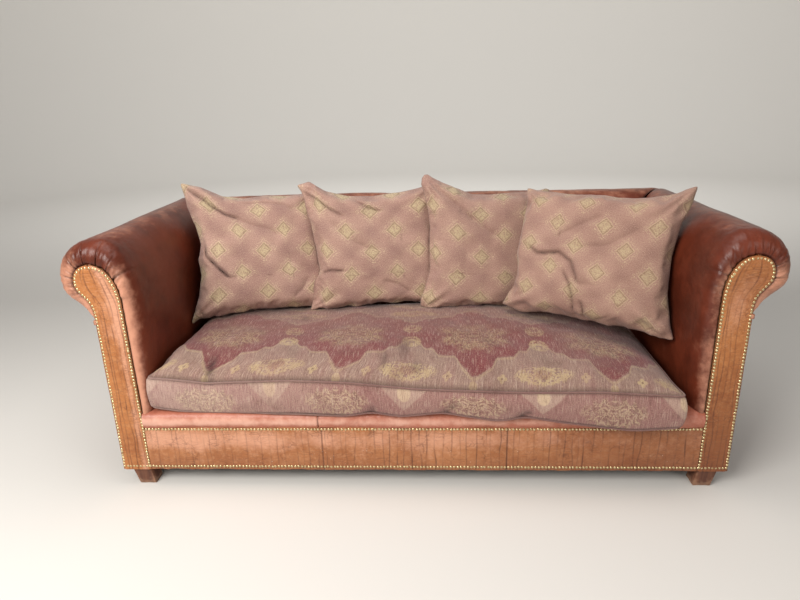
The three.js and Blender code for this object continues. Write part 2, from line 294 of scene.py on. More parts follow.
# %% Finish helpers
class Finish:
    def __init__(self, name, **shader_values):
        self.material = bpy.data.materials.new(name)
        self.material.use_nodes = True
        self.tree = self.material.node_tree
        self.tree.nodes.clear()
        self.out = self.tree.nodes.new("ShaderNodeOutputMaterial")
        self.shader = self.tree.nodes.new("ShaderNodeBsdfPrincipled")
        self.tree.links.new(self.shader.outputs[0], self.out.inputs["Surface"])
        for key, value in shader_values.items():
            self.shader.inputs[key.replace("_", " ")].default_value = value

    def feed(self, socket, value):
        if hasattr(value, "is_output"):
            self.tree.links.new(value, socket)
        elif value is not None:
            socket.default_value = value

    def node(self, kind, inputs=None, output=0, **settings):
        made = self.tree.nodes.new(kind)
        for key, value in settings.items():
            setattr(made, key, value)
        for key, value in (inputs or {}).items():
            self.feed(made.inputs[key], value)
        return made.outputs[output]

    def math(self, operation, a, b=0.0, c=0.0, clamp=False):
        return self.node(
            "ShaderNodeMath", {0: a, 1: b, 2: c}, operation=operation, use_clamp=clamp
        )

    def add(self, a, b):
        return self.math("ADD", a, b)

    def minus(self, a, b):
        return self.math("SUBTRACT", a, b)

    def times(self, a, b):
        return self.math("MULTIPLY", a, b)

    def lesser(self, a, b):
        return self.math("MINIMUM", a, b)

    def greater(self, a, b):
        return self.math("MAXIMUM", a, b)

    def size(self, a):
        return self.math("ABSOLUTE", a)

    def step(self, value, low, high):
        """0 below low, 1 above high, and smooth between. Low above high turns it round."""
        inputs = {"Value": value, "From Min": low, "From Max": high}
        return self.node("ShaderNodeMapRange", inputs, interpolation_type="SMOOTHSTEP")

    def place(self, name="Object"):
        return self.node("ShaderNodeTexCoord", output=name)

    def value(self, name):
        return self.node("ShaderNodeAttribute", output="Fac", attribute_name=name)

    def parts(self, vector):
        made = self.tree.nodes.new("ShaderNodeSeparateXYZ")
        self.feed(made.inputs[0], vector)
        return made.outputs[0], made.outputs[1], made.outputs[2]

    def joined(self, x=0.0, y=0.0, z=0.0):
        return self.node("ShaderNodeCombineXYZ", {0: x, 1: y, 2: z})

    def stretched(self, vector, scale, turn=0.0):
        inputs = {"Vector": vector, "Scale": scale, "Rotation": (0, 0, turn)}
        return self.node("ShaderNodeMapping", inputs)

    def noise(self, where, scale, detail=3.0, roughness=0.55, distortion=0.0):
        inputs = {
            "Vector": where,
            "Scale": scale,
            "Detail": detail,
            "Roughness": roughness,
            "Distortion": distortion,
        }
        return self.node("ShaderNodeTexNoise", inputs)

    def cells(self, where, scale, feature="F1", randomness=1.0):
        inputs = {"Vector": where, "Scale": scale, "Randomness": randomness}
        return self.node("ShaderNodeTexVoronoi", inputs, feature=feature)

    def mix(self, amount, a, b, blend="MIX"):
        made = self.tree.nodes.new("ShaderNodeMix")
        made.data_type = "RGBA"
        made.blend_type = blend
        for key, value in {0: amount, 6: a, 7: b}.items():
            self.feed(made.inputs[key], value if hasattr(value, "is_output") or key == 0 else tone(value))
        return made.outputs[2]

    def add_vector(self, vector, amount):
        """The vector pushed about by a noise, so that straight cell edges turn wavy."""
        push = self.tree.nodes.new("ShaderNodeTexNoise")
        push.inputs["Scale"].default_value = 9.0
        self.feed(push.inputs["Vector"], vector)
        scaled = self.tree.nodes.new("ShaderNodeVectorMath")
        scaled.operation = "MULTIPLY_ADD"
        self.feed(scaled.inputs[0], push.outputs["Color"])
        scaled.inputs[1].default_value = (amount, amount, amount)
        self.feed(scaled.inputs[2], vector)
        return scaled.outputs[0]

    def lay(self, colour, cover, share=1.0):
        """Lays a colour over what is painted so far: where, and how strongly."""
        amount = cover if share == 1.0 else self.times(cover, share)
        self.body = self.mix(amount, self.body, colour)

    def height(self, value, distance, strength=1.0, under=None):
        inputs = {"Height": value, "Distance": distance, "Strength": strength}
        if under is not None:
            inputs["Normal"] = under
        return self.node("ShaderNodeBump", inputs)

    def set(self, **sockets):
        for key, value in sockets.items():
            self.feed(self.shader.inputs[key.replace("_", " ")], value)
        return self.material


def tone(value):
    """A colour given as 0 to 255 steps on a screen, as the linear colour that a shader takes."""
    part = [v / 255 for v in value]
    return (*[v / 12.92 if v <= 0.04045 else ((v + 0.055) / 1.055) ** 2.4 for v in part], 1.0)


print("finish helpers ready")

# %% [markdown]
# ## Smooth leather
# The arms, the back and the lip are a plain pigmented hide. Where hands and legs have rubbed it for
# years the dark red-brown pigment is thin and a pinkish tan shows; the same tan is also painted as a
# highlight where a front edge faces the key light. Each piece keeps a number at its points for this
# wear and painted highlight, and one called `crease` that paints shade into folds, seams and tucks.
# Small tone changes, fine scratches and a pebbled grain are worked out from the place on the sofa.

# %% Smooth leather
def smooth_leather(name, deep, warm, bare):
    f = Finish(name, Specular_IOR_Level=0.34)
    at = f.place()
    cloud = f.noise(at, 5.0, 4.0, 0.6)
    mottle = f.noise(at, 38.0, 4.0, 0.65)
    f.body = f.mix(f.step(cloud, 0.3, 0.7), deep, warm)
    f.lay(warm, f.step(mottle, 0.45, 0.75), 0.35)
    # Pale tan where the number is high: rubbed-off pigment, and a painted highlight on front edges that face
    # the key light.
    rub_and_sheen = f.value("wear_and_sheen")
    patchy = f.add(rub_and_sheen, f.times(f.minus(mottle, 0.5), 0.9))
    worn_and_sheen = f.times(f.step(patchy, 0.15, 1.05), f.step(rub_and_sheen, 0.02, 0.2))
    f.lay(bare, worn_and_sheen, 0.85)
    scratch_at = f.stretched(at, (1.0, 1.0, 3.2), 0.5)
    scratch = f.cells(f.add_vector(scratch_at, 0.06), 34.0, "DISTANCE_TO_EDGE")
    patches = f.step(f.noise(at, 7.0, 2.0), 0.52, 0.66)
    scratched = f.times(f.times(f.step(scratch, 0.018, 0.0), patches), f.add(f.times(rub_and_sheen, 0.6), 0.25))
    f.lay(bare, scratched, 0.5)
    # Painted shade: a near-black brown laid where the crease number marks folds, seams and tucks.
    crease_shade = f.value("crease")
    f.lay((34, 15, 12), crease_shade, 0.8)
    pebble = f.cells(at, 620.0)
    fine = f.noise(at, 240.0, 3.0)
    grain = f.height(pebble, 0.0004, 0.35)
    grain = f.height(fine, 0.0006, 0.4, grain)
    wrinkle = f.noise(f.stretched(at, (1, 1, 1.6)), 60.0, 5.0, 0.6, 0.6)
    grain = f.height(wrinkle, 0.0014, 0.3, grain)
    rough = f.add(f.times(mottle, 0.22), f.add(0.24, f.times(worn_and_sheen, 0.08)))
    return f.set(Base_Color=f.body, Roughness=rough, Normal=grain)


arm_leather = smooth_leather("arm_leather", (78, 32, 19), (112, 50, 31), (212, 152, 124))
lip_leather = smooth_leather("lip_leather", (156, 86, 66), (184, 114, 92), (224, 176, 156))
print(arm_leather.name, lip_leather.name)

# %% [markdown]
# ## Embossed leather
# The facings and the front rail are hides pressed with a large reptile scale. Deep upright creases
# are in the shape itself, and `crease` paints shade into them. Between them run finer cracks, which a
# cell pattern gives: tall cells, with their edges drawn dark and sunk. Pigment has rubbed off here
# and there, with a painted highlight on the upper parts; painted shade darkens the rail towards its
# right and bottom, the right facing is darker low down, and tiny pale chips show near the floor.

# %% Embossed leather
def embossed_leather(name, deep, warm, light):
    f = Finish(name, Specular_IOR_Level=0.42)
    at = f.place()
    cut = f.place("UV")
    cloud = f.noise(at, 6.0, 4.0, 0.6)
    mottle = f.noise(at, 55.0, 4.0, 0.7)
    f.body = f.mix(f.step(cloud, 0.32, 0.68), deep, warm)
    f.lay(light, f.step(mottle, 0.42, 0.72), 0.5)
    streak = f.noise(f.stretched(cut, (60, 5, 1)), 1.0, 4.0)
    f.lay(deep, f.step(streak, 0.45, 0.75), 0.25)
    # Pale where the number is high: random rubbing, and a painted highlight on the upper rail and the
    # facings' upper part, stronger on the left, towards the key light.
    rub_and_sheen = f.value("wear_and_sheen")
    f.lay((220, 164, 136), f.step(f.add(rub_and_sheen, f.times(mottle, 0.5)), 0.35, 1.1), 0.7)
    # Darker red-brown from the tone number: painted shade on the rail towards the right and the bottom, and
    # a darker lower part on the right facing.
    f.lay((98, 44, 26), f.value("darker_tone"), 0.75)
    scale_at = f.add_vector(cut, 0.014)
    crack_a = f.cells(f.stretched(scale_at, (30, 75, 1)), 1.0, "DISTANCE_TO_EDGE", 0.75)
    crack_b = f.cells(f.stretched(scale_at, (95, 190, 1)), 1.0, "DISTANCE_TO_EDGE")
    coarse = f.times(f.step(crack_a, 0.07, 0.0), f.step(f.noise(at, 22.0, 2.0), 0.44, 0.70))
    fine = f.times(f.step(crack_b, 0.09, 0.0), f.step(f.noise(at, 14.0, 2.0), 0.42, 0.66))
    # Painted shade in the pressed creases, the seams and along the nailed edges, from the crease number.
    crease_shade = f.value("crease")
    f.lay((84, 44, 30), coarse, 0.5)
    f.lay((96, 50, 32), fine, 0.32)
    f.lay((66, 34, 28), crease_shade, 0.85)
    low = f.step(f.parts(at)[2], 0.2, 0.06)
    chip = f.times(f.step(f.cells(at, 70.0), 0.13, 0.07), f.step(f.noise(at, 16.0, 2.0), 0.55, 0.62))
    f.lay((232, 214, 196), f.times(chip, low), 0.85)
    grain = f.height(f.step(crack_a, 0.0, 0.25), 0.0011, 0.6)
    grain = f.height(f.step(crack_b, 0.0, 0.3), 0.0005, 0.5, grain)
    grain = f.height(f.noise(at, 300.0, 3.0), 0.0005, 0.5, grain)
    rough = f.add(f.times(mottle, 0.25), f.add(0.27, f.times(crease_shade, 0.3)))
    return f.set(Base_Color=f.body, Roughness=rough, Normal=grain)


facing_leather = embossed_leather("facing_leather", (162, 98, 52), (184, 118, 66), (202, 142, 90))
rail_leather = embossed_leather("rail_leather", (156, 96, 56), (176, 116, 74), (196, 142, 102))
print(facing_leather.name, rail_leather.name)

# %% [markdown]
# ## Brass, timber, wire and linings
# Nail heads are thin brass over steel, bright with patches of brown tarnish. The
# hidden frame is raw hardwood: its grain is a stretched noise along each board. The feet are stained
# and their corners are kicked pale. Springs, hessian and the black lining get simple finishes of
# their own, because a good sofa is also right on the inside.

# %% Brass, timber, wire and linings
def aged_brass():
    f = Finish("aged_brass", Metallic=1.0)
    at = f.place()
    tarnish = f.step(f.noise(at, 170.0, 3.0, 0.6), 0.42, 0.66)
    f.body = f.mix(f.times(tarnish, 0.6), (222, 204, 160), (142, 116, 78))
    rough = f.add(0.26, f.times(tarnish, 0.3))
    return f.set(Base_Color=f.body, Roughness=rough, Normal=f.height(f.noise(at, 700.0), 0.0003, 0.4))


def timber(name, light, dark, along, scuffs=0.0):
    f = Finish(name)
    at = f.place()
    grain_at = f.stretched(at, [3.0 if k == along else 55.0 for k in range(3)])
    grain = f.noise(grain_at, 1.0, 5.0, 0.6, 0.4)
    f.body = f.mix(f.step(grain, 0.35, 0.65), light, dark)
    pores = f.noise(f.stretched(at, [30.0 if k == along else 600.0 for k in range(3)]), 1.0, 2.0)
    f.lay(dark, f.step(pores, 0.6, 0.72), 0.4)
    if scuffs:
        edge = f.value("wear_and_sheen")
        kicked = f.times(f.step(f.add(edge, f.times(f.noise(at, 90.0, 4.0), 0.8)), 0.6, 1.0), scuffs)
        f.lay((196, 158, 128), kicked)
    rough = f.add(0.5, f.times(grain, 0.3))
    return f.set(Base_Color=f.body, Roughness=rough, Normal=f.height(grain, 0.0012, 0.5))


def spring_wire():
    f = Finish("spring_wire", Metallic=1.0)
    spot = f.step(f.noise(f.place(), 60.0, 4.0), 0.5, 0.7)
    f.body = f.mix(spot, (150, 152, 156), (112, 80, 58))
    return f.set(Base_Color=f.body, Roughness=f.add(0.3, f.times(spot, 0.4)))


def plain_weave(name, light, dark, pitch):
    f = Finish(name)
    at = f.place()
    x, y, z = f.parts(at)
    warp = f.math("SINE", f.times(x, 2 * math.pi / pitch))
    weft = f.math("SINE", f.times(f.add(y, z), 2 * math.pi / pitch))
    thread = f.add(f.times(warp, 0.5), f.times(weft, 0.5))
    slub = f.noise(f.stretched(at, (4, 90, 90)), 1.0, 3.0)
    f.body = f.mix(f.step(f.add(thread, slub), -0.4, 1.4), dark, light)
    return f.set(Base_Color=f.body, Roughness=0.95, Normal=f.height(thread, 0.0006, 0.6))


brass = aged_brass()
timber_x = timber("timber_lengthways", (200, 160, 112), (160, 114, 70), 0)
timber_y = timber("timber_depthways", (198, 156, 108), (156, 110, 68), 1)
timber_z = timber("timber_upright", (202, 162, 114), (162, 116, 72), 2)
foot_stain = timber("foot_stain", (116, 72, 50), (88, 52, 38), 2, 0.3)
wire = spring_wire()
hessian = plain_weave("hessian_weave", (170, 146, 104), (112, 90, 58), 0.0035)
lining = plain_weave("black_lining", (46, 43, 42), (20, 19, 19), 0.0016)
print("trade finishes", [m.name for m in (brass, timber_x, foot_stain, wire, hessian, lining)])

# %% [markdown]
# ## Finishes for the hidden frame
# These CAD pieces have the right shape already, so only their finish changes. A board's grain runs
# along its longest side, which its box tells.

# %% Finish the hidden frame
for name, node in frame["nodes"].items():
    low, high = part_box(name)
    sides = list(high - low)
    slot_finish = {0: timber_x, 1: timber_y, 2: timber_z}[sides.index(max(sides))]
    if name.startswith("seat_spring"):
        slot_finish = wire
    node.data.materials.clear()
    node.data.materials.append(slot_finish)
for part in frame["record"]["subparts"]:
    if part["material_slot"] == "hessian":
        frame["nodes"][part["node"]].data.materials[0] = hessian
print(len(frame["nodes"]), "CAD nodes with a first finish")

# %% [markdown]
# ## The padded roll's section
# Arms and back share one section: up the inside face, over a fat roll, and hooked under on the
# outside. Two chains of curves describe it, counted from the roll's axis outwards and up from the
# floor, in millimetres. The inner chain is the line of nails round the facing. The outer chain is the
# leather at full padding. Each curve is about a quarter of a metre long. The hide runs from the nails
# out over a rounded front edge and then back along the arm.

# %% Section of the roll
ROLL_X = 0.985
ROLL_Y = FRONT + 0.840
MITRE_GAP = 0.0006
CURVE_LENGTH = 0.25
HIDE_THICKNESS = 0.008
NAILED = [
    (-87.5, 262), (-87.5, 400), (-87.5, 530), (-87.5, 648),
    (-87.5, 720), (-59, 774), (-5, 775),
    (29, 775), (50, 752), (50, 720),
    (50, 676), (5.5, 678), (5.5, 612),
    (5.5, 604), (5.5, 594), (5.5, 585),
]
PADDED = [
    (-122, 262), (-136, 380), (-137, 560), (-133, 650),
    (-129, 760), (-85, 845), (-18, 846),
    (60, 847), (108, 790), (108, 725),
    (108, 660), (62, 640), (40, 620),
    (24, 608), (8, 607), (6.5, 585),
]
NAILED, PADDED = np.array(NAILED) / 1000, np.array(PADDED) / 1000


def spread_columns(across, shares):
    """Turns 0 to 1 across the hide into curve numbers, with each curve's share of the columns."""
    stops = np.concatenate([[0], np.cumsum(shares)]) / sum(shares)
    return np.interp(across, stops, np.arange(len(shares) + 1))


print("section height", round(float(PADDED[:, 1].max()), 3))

# %% [markdown]
# ## Pleats
# The hide of an arm is gathered round the scroll and nailed down, so it folds into pleats that run
# out from the nails: a few deep ones and many fine ones. Each pleat is a sharp valley with a soft
# ridge beside it, and shade is painted into the valley. Round the front edge the hide is pinkish tan,
# partly from wear and partly as a painted highlight where the edge faces the key light; along the
# crest the wear is weaker. A Solidify modifier gives the hide and its wadding a real thickness.

# %% Pleats
def pleat_field(curve_at, reach, pleats):
    """Depth of the pleats and where painted shade lies in them. A pleat is (place, depth, width, reach,
    lean).
    """
    depth, crease_shade = np.zeros_like(curve_at), np.zeros_like(curve_at)
    for place, deep, width, far, lean in pleats:
        off = curve_at - place - lean * reach / 0.1
        fade = 1 - ease(reach / far)
        valley = np.exp(-np.abs(off) / width)
        ridge = bump(off - 2.1 * width, 1.3 * width) + bump(off + 2.1 * width, 1.3 * width)
        depth += fade * deep * (0.55 * ridge - 1.15 * valley)
        crease_shade += fade * valley * min(1.0, deep / 0.0022)
    return depth, crease_shade


def fine_pleats(seed, count, low, high, deep):
    random = np.random.default_rng(seed)
    return [
        (
            random.uniform(low, high),
            deep * random.uniform(0.35, 1.0),
            random.uniform(0.010, 0.024),
            random.uniform(0.035, 0.11),
            random.uniform(-0.10, 0.10),
        )
        for _ in range(count)
    ]


print("pleat helpers ready")

# %% [markdown]
# ## The arm hides
# The grid of an arm runs across the section one way. The other way it turns out of the line of nails,
# round the front edge, and then runs back to the mitre with the inside back. The left arm is pleated
# much more than the right one, so each has its own list of deep pleats. Its pale front band is also
# stronger, partly from wear and partly as a painted highlight, since the key light stands on the left.

# %% Arm hides
ARM_FRONT_DEPTH = 0.056


def arm_hide(name, side, pleats, worn_and_sheen, seed):
    piece, across, along = flat_hide(name, 300, 112)
    if side < 0:
        across = 1 - across
    curve_at = spread_columns(across, [52, 86, 78, 64, 20])
    turn_share = 0.34
    turn = np.clip(along / turn_share, 0, 1) * math.pi / 2
    back = np.clip((along - turn_share) / (1 - turn_share), 0, 1) ** 1.25
    nailed, padded = chain(NAILED, curve_at), chain(PADDED, curve_at)
    ring = nailed + (padded - nailed) * np.sin(turn)[:, None]
    start = FRONT + 0.001
    tail = ease((curve_at - 3.2) / 0.45)
    depth = start + ARM_FRONT_DEPTH * (1 - np.cos(turn)) - 0.007 * np.sin(2 * turn) * (1 - tail)
    mitre = ROLL_Y + padded[:, 0] - MITRE_GAP
    depth = depth + back * (mitre - start - ARM_FRONT_DEPTH)
    put_points(piece, np.stack([side * (ROLL_X + ring[:, 0]), depth, ring[:, 1]], 1))
    reach = np.sin(turn) * 0.02 + turn / (math.pi / 2) * 0.07 + back * 0.85
    folds, crease_shade = pleat_field(curve_at, reach, pleats)
    girth = curve_at * CURVE_LENGTH
    sag = 0.0035 * unevenness(girth, reach, 0.16, seed) * ease(reach / 0.12)
    creased = unevenness(girth * 1.6, reach, 0.03, seed + 9, 3)
    lumps = 0.0013 * creased * (0.35 + bump(reach - 0.09, 0.09))
    gather = 0.0011 * np.sin(curve_at * 46 + 3 * unevenness(girth, reach, 0.05, seed + 3))
    gather *= bump(reach, 0.05) * ease((curve_at - 0.7) / 0.4)
    seam = -0.006 * bump(1 - back, 0.014)
    tuck = -0.004 * bump(reach, 0.006)
    height = (folds + sag + lumps + gather + seam + tuck) * (1 - tail) - 0.002 * tail * (reach < 0.2)
    raise_by(piece, height)
    put_uv(piece, girth, reach)
    # The pale front band below is partly wear and partly a painted highlight on the turn that faces the key
    # light.
    front = 1 - ease(turn / (math.pi / 2) / 0.9)
    scroll = ease((curve_at - (2.1 if side < 0 else 2.5)) / 0.7) * (1 - ease((reach - 0.09) / 0.08))
    crest = bump(curve_at - 1.95, 0.35) * ease(reach / 0.2) * 0.30
    inner = (1 - ease((curve_at - 1.25) / 0.5)) * front
    rub_and_sheen = 0.95 * worn_and_sheen * inner + 0.72 * scroll + crest + 0.15 * front
    rub_and_sheen += 0.22 * unevenness(girth, reach, 0.07, seed + 5, 2)
    put_value(piece, "wear_and_sheen", rub_and_sheen)
    # Painted shade in the pleats, at the tuck along the nails and at the mitre seam.
    put_value(piece, "crease", crease_shade + 0.8 * bump(reach, 0.006) + 0.9 * bump(1 - back, 0.01))
    thicken(piece, HIDE_THICKNESS, 80)
    return piece


left_pleats = [
    (2.12, 0.0042, 0.014, 0.10, 0.05),
    (1.84, 0.0044, 0.014, 0.10, 0.04),
    (1.42, 0.0034, 0.016, 0.12, -0.10),
    (1.62, 0.0022, 0.012, 0.08, -0.03),
    (2.45, 0.0030, 0.012, 0.08, 0.05),
    (2.85, 0.0026, 0.014, 0.07, 0.02),
] + fine_pleats(11, 22, 1.0, 3.9, 0.0011)
right_pleats = [
    (1.18, 0.0014, 0.016, 0.12, -0.12),
    (1.34, 0.0016, 0.015, 0.12, -0.10),
    (1.95, 0.0010, 0.013, 0.08, 0.02),
    (2.75, 0.0018, 0.014, 0.08, 0.03),
    (3.10, 0.0018, 0.014, 0.07, 0.0),
] + fine_pleats(12, 26, 0.9, 3.9, 0.0009)
# The fourth number sets the pale front band: wear, with a painted highlight that is stronger on the left
# arm, towards the key light.
for arm_name, side, pleats, worn_and_sheen, seed in (
    ("left_arm_hide", -1, left_pleats, 1.0, 21),
    ("right_arm_hide", 1, right_pleats, 0.38, 47),
):
    arm = arm_hide(arm_name, side, pleats, worn_and_sheen, seed)
    place_piece(arm, arm_leather, "smooth_leather", arm_name.replace("hide", "cover"))

# %% [markdown]
# ## The inside back
# The back has the same section, run from mitre to mitre. It is mostly behind the pillows, so it is
# the least worn hide, but its crest is flattened in places and the mitre seams pull it in.

# %% Inside back
def back_hide():
    piece, across, along = flat_hide("inside_back_hide", 150, 240)
    across = 1 - across
    curve_at = spread_columns(across, [40, 40, 34, 26, 10])
    section = chain(PADDED, curve_at)
    reach = ROLL_X + section[:, 0] - MITRE_GAP
    x = (2 * along - 1) * reach
    put_points(piece, np.stack([x, ROLL_Y + section[:, 0], section[:, 1]], 1))
    girth = curve_at * CURVE_LENGTH
    edge = reach - np.abs(x)
    sag = 0.005 * unevenness(girth, x, 0.22, 5) + 0.0016 * unevenness(girth * 1.5, x, 0.04, 8, 3)
    seam = -0.006 * bump(edge, 0.010)
    raise_by(piece, sag + seam)
    put_uv(piece, x, girth)
    crest = bump(curve_at - 1.95, 0.4) * 0.5
    put_value(piece, "wear_and_sheen", crest + 0.25 * unevenness(girth, x, 0.1, 6, 2))
    # Painted shade along the mitre seams.
    put_value(piece, "crease", 0.9 * bump(edge, 0.006))
    thicken(piece, HIDE_THICKNESS, 80)
    return piece


inside_back = back_hide()
place_piece(inside_back, arm_leather, "smooth_leather", "inside_back_cover")
print("facing out:", normals_of(inside_back)[:, 2].max() > 0.9)

# %% [markdown]
# ## Facings and front rail
# These panels are hides glued and nailed flat over boards. A facing has a keyhole outline: a leg with
# a round head. The grid is squeezed between the inner and the outer outline at every height, so the
# upright creases follow the leg and fan out in the head, as the embossing does on the real panel.

# %% Keyhole and creases
FACING_LOW, FACING_TOP = 0.062, 0.7752
LEG_TOP, LEG_INSIDE = 0.648, 0.8975
LEG_WIDTH = 0.0965
PANEL_THICKNESS = 0.0035
CREASE_DEPTH = 0.0011


def keyhole_sides(z):
    """How far out the facing's inner and outer edges are at each height."""
    t = np.linspace(0, 1, 60)
    inner = chain([(897.5, 648), (897.5, 720), (926, 774), (980, 775)], t) / 1000
    out_top = chain([(980, 775), (1014, 775), (1035, 752), (1035, 720)], t)
    out_low = chain([(1035, 720), (1035, 676), (990.5, 678), (990.5, 612)], t)
    outer = np.concatenate([out_top, out_low[1:], [(994, 62)]])[::-1] / 1000
    left = np.where(z < LEG_TOP, LEG_INSIDE, np.interp(z, inner[:, 1], inner[:, 0]))
    right = np.interp(z, outer[:, 1], outer[:, 0])
    return left, right


def crease_lines(x, y, lines):
    """Upright creases that wander. A line is (place, depth, wander, seed)."""
    depth = np.zeros_like(x)
    for place, deep, wander, seed in lines:
        path = place + wander * unevenness(y, y * 0, 0.09, seed, 2)
        strength = 0.55 + 0.45 * unevenness(y, y * 0 + 1, 0.05, seed + 4)
        depth += deep * strength * bump(x - path, 0.0017)
    return depth


print("outline and crease helpers ready")

# %% [markdown]
# ## The facings
# A facing's hide is puffed a little inside its nailed edge. Its creases are pressed in at five
# places across the leg. The grid's top row closes almost to a point on the round head, so points that
# fall together are merged before the hide gets its thickness.

# %% Facings
def facing_panel(name, side, seed):
    piece, across, along = flat_hide(name, 72, 300)
    height = FACING_LOW + (FACING_TOP - FACING_LOW) * np.sin(along * math.pi / 2) ** 1.06
    height = np.where(along > 0.9995, FACING_TOP - 0.0003, height)
    left, right = keyhole_sides(height)
    width = right - left
    if side < 0:
        across = 1 - across
    x = left + width * across
    y = np.full_like(x, FRONT)
    cut = (across - 0.5) * LEG_WIDTH
    random = np.random.default_rng(seed)
    lines = [
        (place + random.uniform(-0.004, 0.004), random.uniform(0.5, 1.0), 0.005, seed + k)
        for k, place in enumerate((-0.032, -0.018, -0.004, 0.012, 0.027))
    ]
    crease = crease_lines(cut, height, lines)
    inset = np.minimum(np.minimum(x - left, right - x), 0.02)
    puff = 0.0032 * ease(inset / 0.012) + 0.0008 * unevenness(cut * 2, height, 0.03, seed, 2)
    y = y - puff + CREASE_DEPTH * crease
    put_points(piece, np.stack([side * x, y, height], 1))
    put_uv(piece, cut, height)
    # Painted highlight on the upper leg of both facings and in a strip on the left facing, with random
    # rubbing that is stronger lower down.
    rub_and_sheen = 0.5 * bump(height - 0.62, 0.10) * bump(across - 0.45, 0.4)
    rub_and_sheen += 0.34 * unevenness(cut, height, 0.05, seed + 6, 2) * (1.2 - height)
    put_value(piece, "wear_and_sheen", rub_and_sheen + (0.6 * bump(across - 0.22, 0.16) if side < 0 else 0))
    # A darker tone towards the bottom and in a band under the head, mostly on the right facing.
    darker_low = 0.9 * (1 - ease((height - 0.06) / 0.5)) + 0.35 * bump(height - 0.70, 0.06)
    put_value(piece, "darker_tone", darker_low * (1.0 if side > 0 else 0.15))
    # Painted shade in the creases and along the nailed edge.
    put_value(piece, "crease", 0.9 * crease + 0.5 * (1 - ease(inset / 0.006)))
    on_all_faces(piece, bpy.ops.mesh.remove_doubles, threshold=0.0001)
    thicken(piece, PANEL_THICKNESS, 70)
    return piece


for panel_name, side, seed in (("left_facing_hide", -1, 61), ("right_facing_hide", 1, 87)):
    panel = facing_panel(panel_name, side, seed)
    place_piece(panel, facing_leather, "embossed_leather", panel_name.replace("_hide", ""))

# %% [markdown]
# ## The front rail
# The rail panel is three widths of hide sewn together. Its upright creases stand close together and
# are deeper towards the right, and its lower edge is ragged. A highlight is painted along its upper
# part, paler towards the left, and painted shade darkens it towards the right and the bottom.

# %% Front rail
RAIL_SEAMS = (-0.31, 0.29)


def rail_panel():
    low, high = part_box("front_rail_panel")
    piece, across, along = flat_hide("front_rail_hide", 980, 36)
    x = low.x + (high.x - low.x) * across
    z = low.z + (high.z - low.z) * along
    random = np.random.default_rng(3)
    places = np.cumsum(random.uniform(0.015, 0.032, 84)) + low.x
    lines = [
        (place, random.uniform(0.4, 1.15), 0.005, 300 + k)
        for k, place in enumerate(places)
        if place < high.x - 0.01
    ]
    crease = crease_lines(x, z, lines) * (0.6 + 0.4 * ease((x + 0.5) / 0.5))
    seams = np.minimum(*(np.abs(x - seam) for seam in RAIL_SEAMS))
    joint = bump(seams, 0.0022)
    puff = 0.0030 * ease((z - low.z) / 0.02) * ease((high.z - z) / 0.015)
    puff += 0.0016 * unevenness(x, z, 0.10, 31, 2) * ease((z - low.z) / 0.02)
    y = FRONT + 0.0003 - puff + CREASE_DEPTH * crease + 0.0022 * joint
    z = z + 0.0020 * unevenness(x, x * 0, 0.02, 33, 2) * (1 - ease(along / 0.08))
    put_points(piece, np.stack([x, y, z], 1))
    put_uv(piece, x, z)
    # Painted highlight along the upper part, paler towards the left where the key light stands, with some
    # random rubbing.
    rub_and_sheen = 0.70 * bump(along - 0.72, 0.26) * (0.75 - 0.45 * x) + 0.25 * unevenness(x, z, 0.06, 35, 2)
    put_value(piece, "wear_and_sheen", rub_and_sheen)
    # Painted shade: darker towards the right, away from the key light, and towards the bottom.
    put_value(piece, "darker_tone", 0.50 * ease((x - 0.1) / 0.8) + 0.30 * (1 - ease((along - 0.05) / 0.4)))
    # Painted shade in the creases and the seams.
    put_value(piece, "crease", crease + 0.8 * joint)
    thicken(piece, PANEL_THICKNESS, 70)
    return piece


rail = rail_panel()
place_piece(rail, rail_leather, "embossed_leather", "front_rail_panel")

# %% [markdown]
# ## The padded lip
# A thin roll of wadding under smooth leather softens the front edge of the seat. It runs from the
# upper row of nails, swells forward and turns back under the cushion. Sitting has wrinkled it
# crosswise, and one upright seam joins two hides.

# %% Padded lip
LIP = np.array([
    (0.4, 218), (-5, 226), (-10, 236), (-10, 248),
    (-10, 262), (-2, 273), (14, 275),
    (35, 277), (60, 276), (88, 275),
]) / 1000


LIP_SEAM = -0.318


def padded_lip():
    low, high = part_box("front_lip")
    piece, across, along = flat_hide("front_lip_hide", 620, 54)
    section = chain(LIP, spread_columns(along, [22, 20, 12]))
    x = low.x + (high.x - low.x) * across
    put_points(piece, np.stack([x, FRONT + section[:, 0], section[:, 1]], 1))
    girth = along * 0.15
    soft = 0.0022 * unevenness(x, girth, 0.11, 71, 2)
    lines = 0.0012 * unevenness(x * 2.6, girth, 0.03, 73, 3) * ease(girth / 0.03)
    nail_pull = -0.0025 * bump(girth, 0.006) * (0.6 + 0.4 * np.sin(x * 2 * math.pi / 0.022))
    seam = -0.0035 * bump(x - LIP_SEAM, 0.0025)
    height = soft + lines + nail_pull + seam
    raise_by(piece, height)
    put_uv(piece, x, girth)
    # A pale band along the top of the roll, stronger on the left: partly wear and partly a painted
    # highlight; random rubbing elsewhere.
    rub_and_sheen = (0.70 - 0.3 * x) * bump(girth - 0.055, 0.03) + 0.22 * unevenness(x, girth, 0.05, 75, 2)
    put_value(piece, "wear_and_sheen", rub_and_sheen)
    # Painted shade in the seam and along the nails.
    put_value(piece, "crease", 0.8 * bump(x - LIP_SEAM, 0.0022) + 0.5 * bump(girth, 0.004))
    thicken(piece, 0.004, 80)
    return piece


lip = padded_lip()
place_piece(lip, lip_leather, "smooth_leather", "front_lip")

# %% [markdown]
# ## Brass nails
# One nail head is modelled from a small sphere: the lower half is cut away and the dome is flattened.
# It is then copied along each row, a little unevenly, because nails are set by hand. Each row is
# joined into one piece, and a nail has only a few dozen faces, because there are hundreds.

